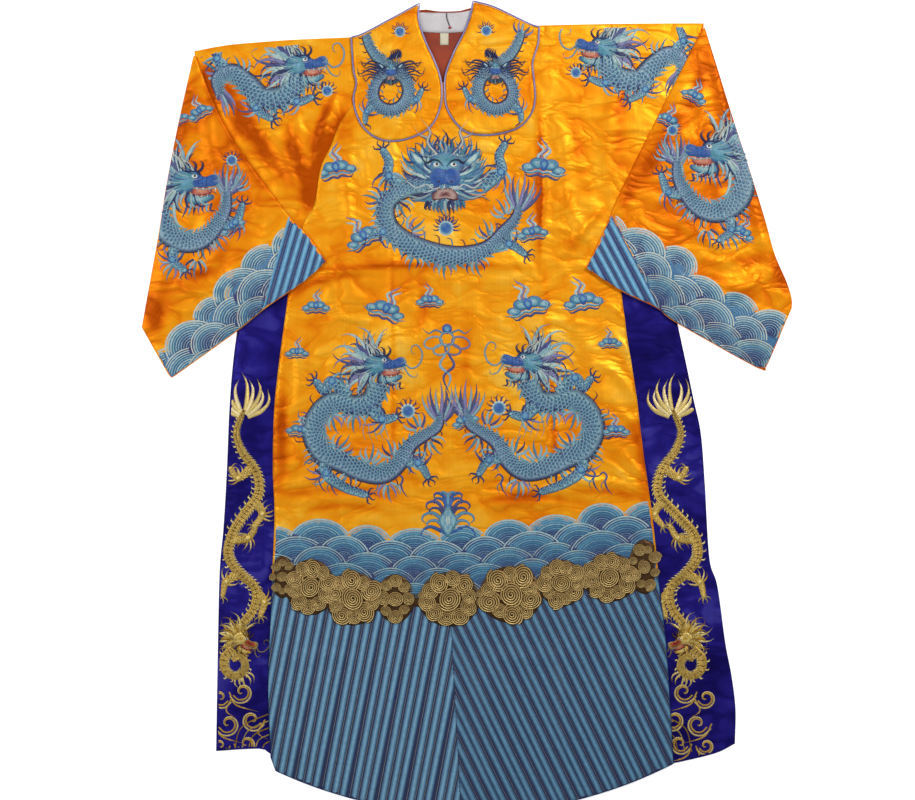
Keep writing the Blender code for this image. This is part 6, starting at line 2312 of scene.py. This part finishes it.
SLEEVE_SPOTS = {
    "left": [(192, 204), (176, 120), (200, 112), (232, 226), (150, 226)],
    "right": [(712, 174), (742, 232), (668, 120), (694, 96), (740, 130)],
}
sleeve_waves = {
    "left": (
        [(157, 352), (168, 331), (190, 320), (206, 298), (222, 283), (234, 262), (252, 250), (284, 229)], 37,
    ),
    "right": (
        [(612, 214), (634, 224), (660, 237), (682, 246), (696, 272), (716, 281), (738, 292), (780, 312)], -29,
    ),
}
sleeve_stripes = {
    "left": (
        (294, 200), (8.6, 0), 7, -16, 0.24,
        [(262, 312), (289, 216), (299, 214), (350, 244), (344, 290), (280, 340)],
    ),
    "right": (
        (606, 196), (-9.6, 0), 9, 28, 0.26,
        [(664, 320), (613, 216), (604, 212), (556, 240), (556, 290), (620, 330)],
    ),
}
seas = {
    "left": [
        (289, 236), (262, 312), (240, 420), (120, 420), (150, 368), (176, 344), (200, 326), (222, 300),
        (246, 274), (268, 252),
    ],
    "right": [
        (613, 232), (664, 320), (700, 420), (830, 420), (786, 330), (750, 308), (716, 296), (690, 270),
        (660, 252), (636, 240),
    ],
}
sea_regions = {
    "left": [(289, 218), (262, 312), (240, 420), (120, 420), (120, 300), (230, 200)],
    "right": [(613, 216), (664, 320), (700, 420), (830, 420), (830, 260), (680, 190)],
}
for side in ("left", "right"):
    host = hosts[f"sleeve_{side}"]
    inset = offset_run(sleeve_outline(side, 0.012), 0.001, closed=True)
    work = Work(host)
    flip = side == "right"
    centre, *clouds = SLEEVE_SPOTS[side]
    sleeve_dragon(Place(work, *centre, 0.95, -14 if flip else 14, flip))
    for spot in clouds:
        cloud_knot(Place(work, *spot, 0.6, -30 if flip else 30, flip))
    upper, tilt = sleeve_waves[side]
    sea = Work(host)
    ground(sea, join(spots_at(*seas[side])), MID)
    wave_rows(sea, upper, 4, 0.03, 0.068, 0.05, tilt, PALE_SEA)
    sea.cut(join(spots_at(*sea_regions[side])))
    work.take(sea)
    lay(work, f"sleeve_{side}_embroidery", f"sleeve_{side}", silk, inset, blue_scale)
    first, step, count, lean, length, region = sleeve_stripes[side]
    strip = Work(host)
    ground(strip, join(spots_at(*region)), NAVY)
    stripes(strip, first, step, count, lean, length, 11.6, ("#143058", "#4088B4", "#7FB8D4", "#8FA8B0"))
    strip.cut(join(spots_at(*region)))
    lay(strip, f"sleeve_{side}_stripes", f"sleeve_{side}", padded_silk, inset)

for side, centre in (("left", (391, 92)), ("right", (495.4, 91))):
    work = Work(hosts[f"collar_{side}"])
    collar_coil(Place(work, *centre, flip=side == "right"))
    border = offset_run(lobe_outline(side, 0.008), 0.002, closed=True)
    lay(work, f"collar_{side}_embroidery", f"collar_{side}", silk, border, blue_scale)
    work = Work(hosts[f"panel_{side}"])
    panel_work(work, side)
    border = offset_run(panel_outline(side, 0.012), 0.003, closed=True)
    lay(work, f"side_panel_{side}_embroidery", f"side_panel_{side}", gold, border, gold_scale)
coils = couched_clouds(hosts["band"], scatter_nodes, coil, gold)
place_piece(coils, "gold_cloud_band")
for shape in (blue_scale, gold_scale, coil):
    bpy.data.objects.remove(shape)
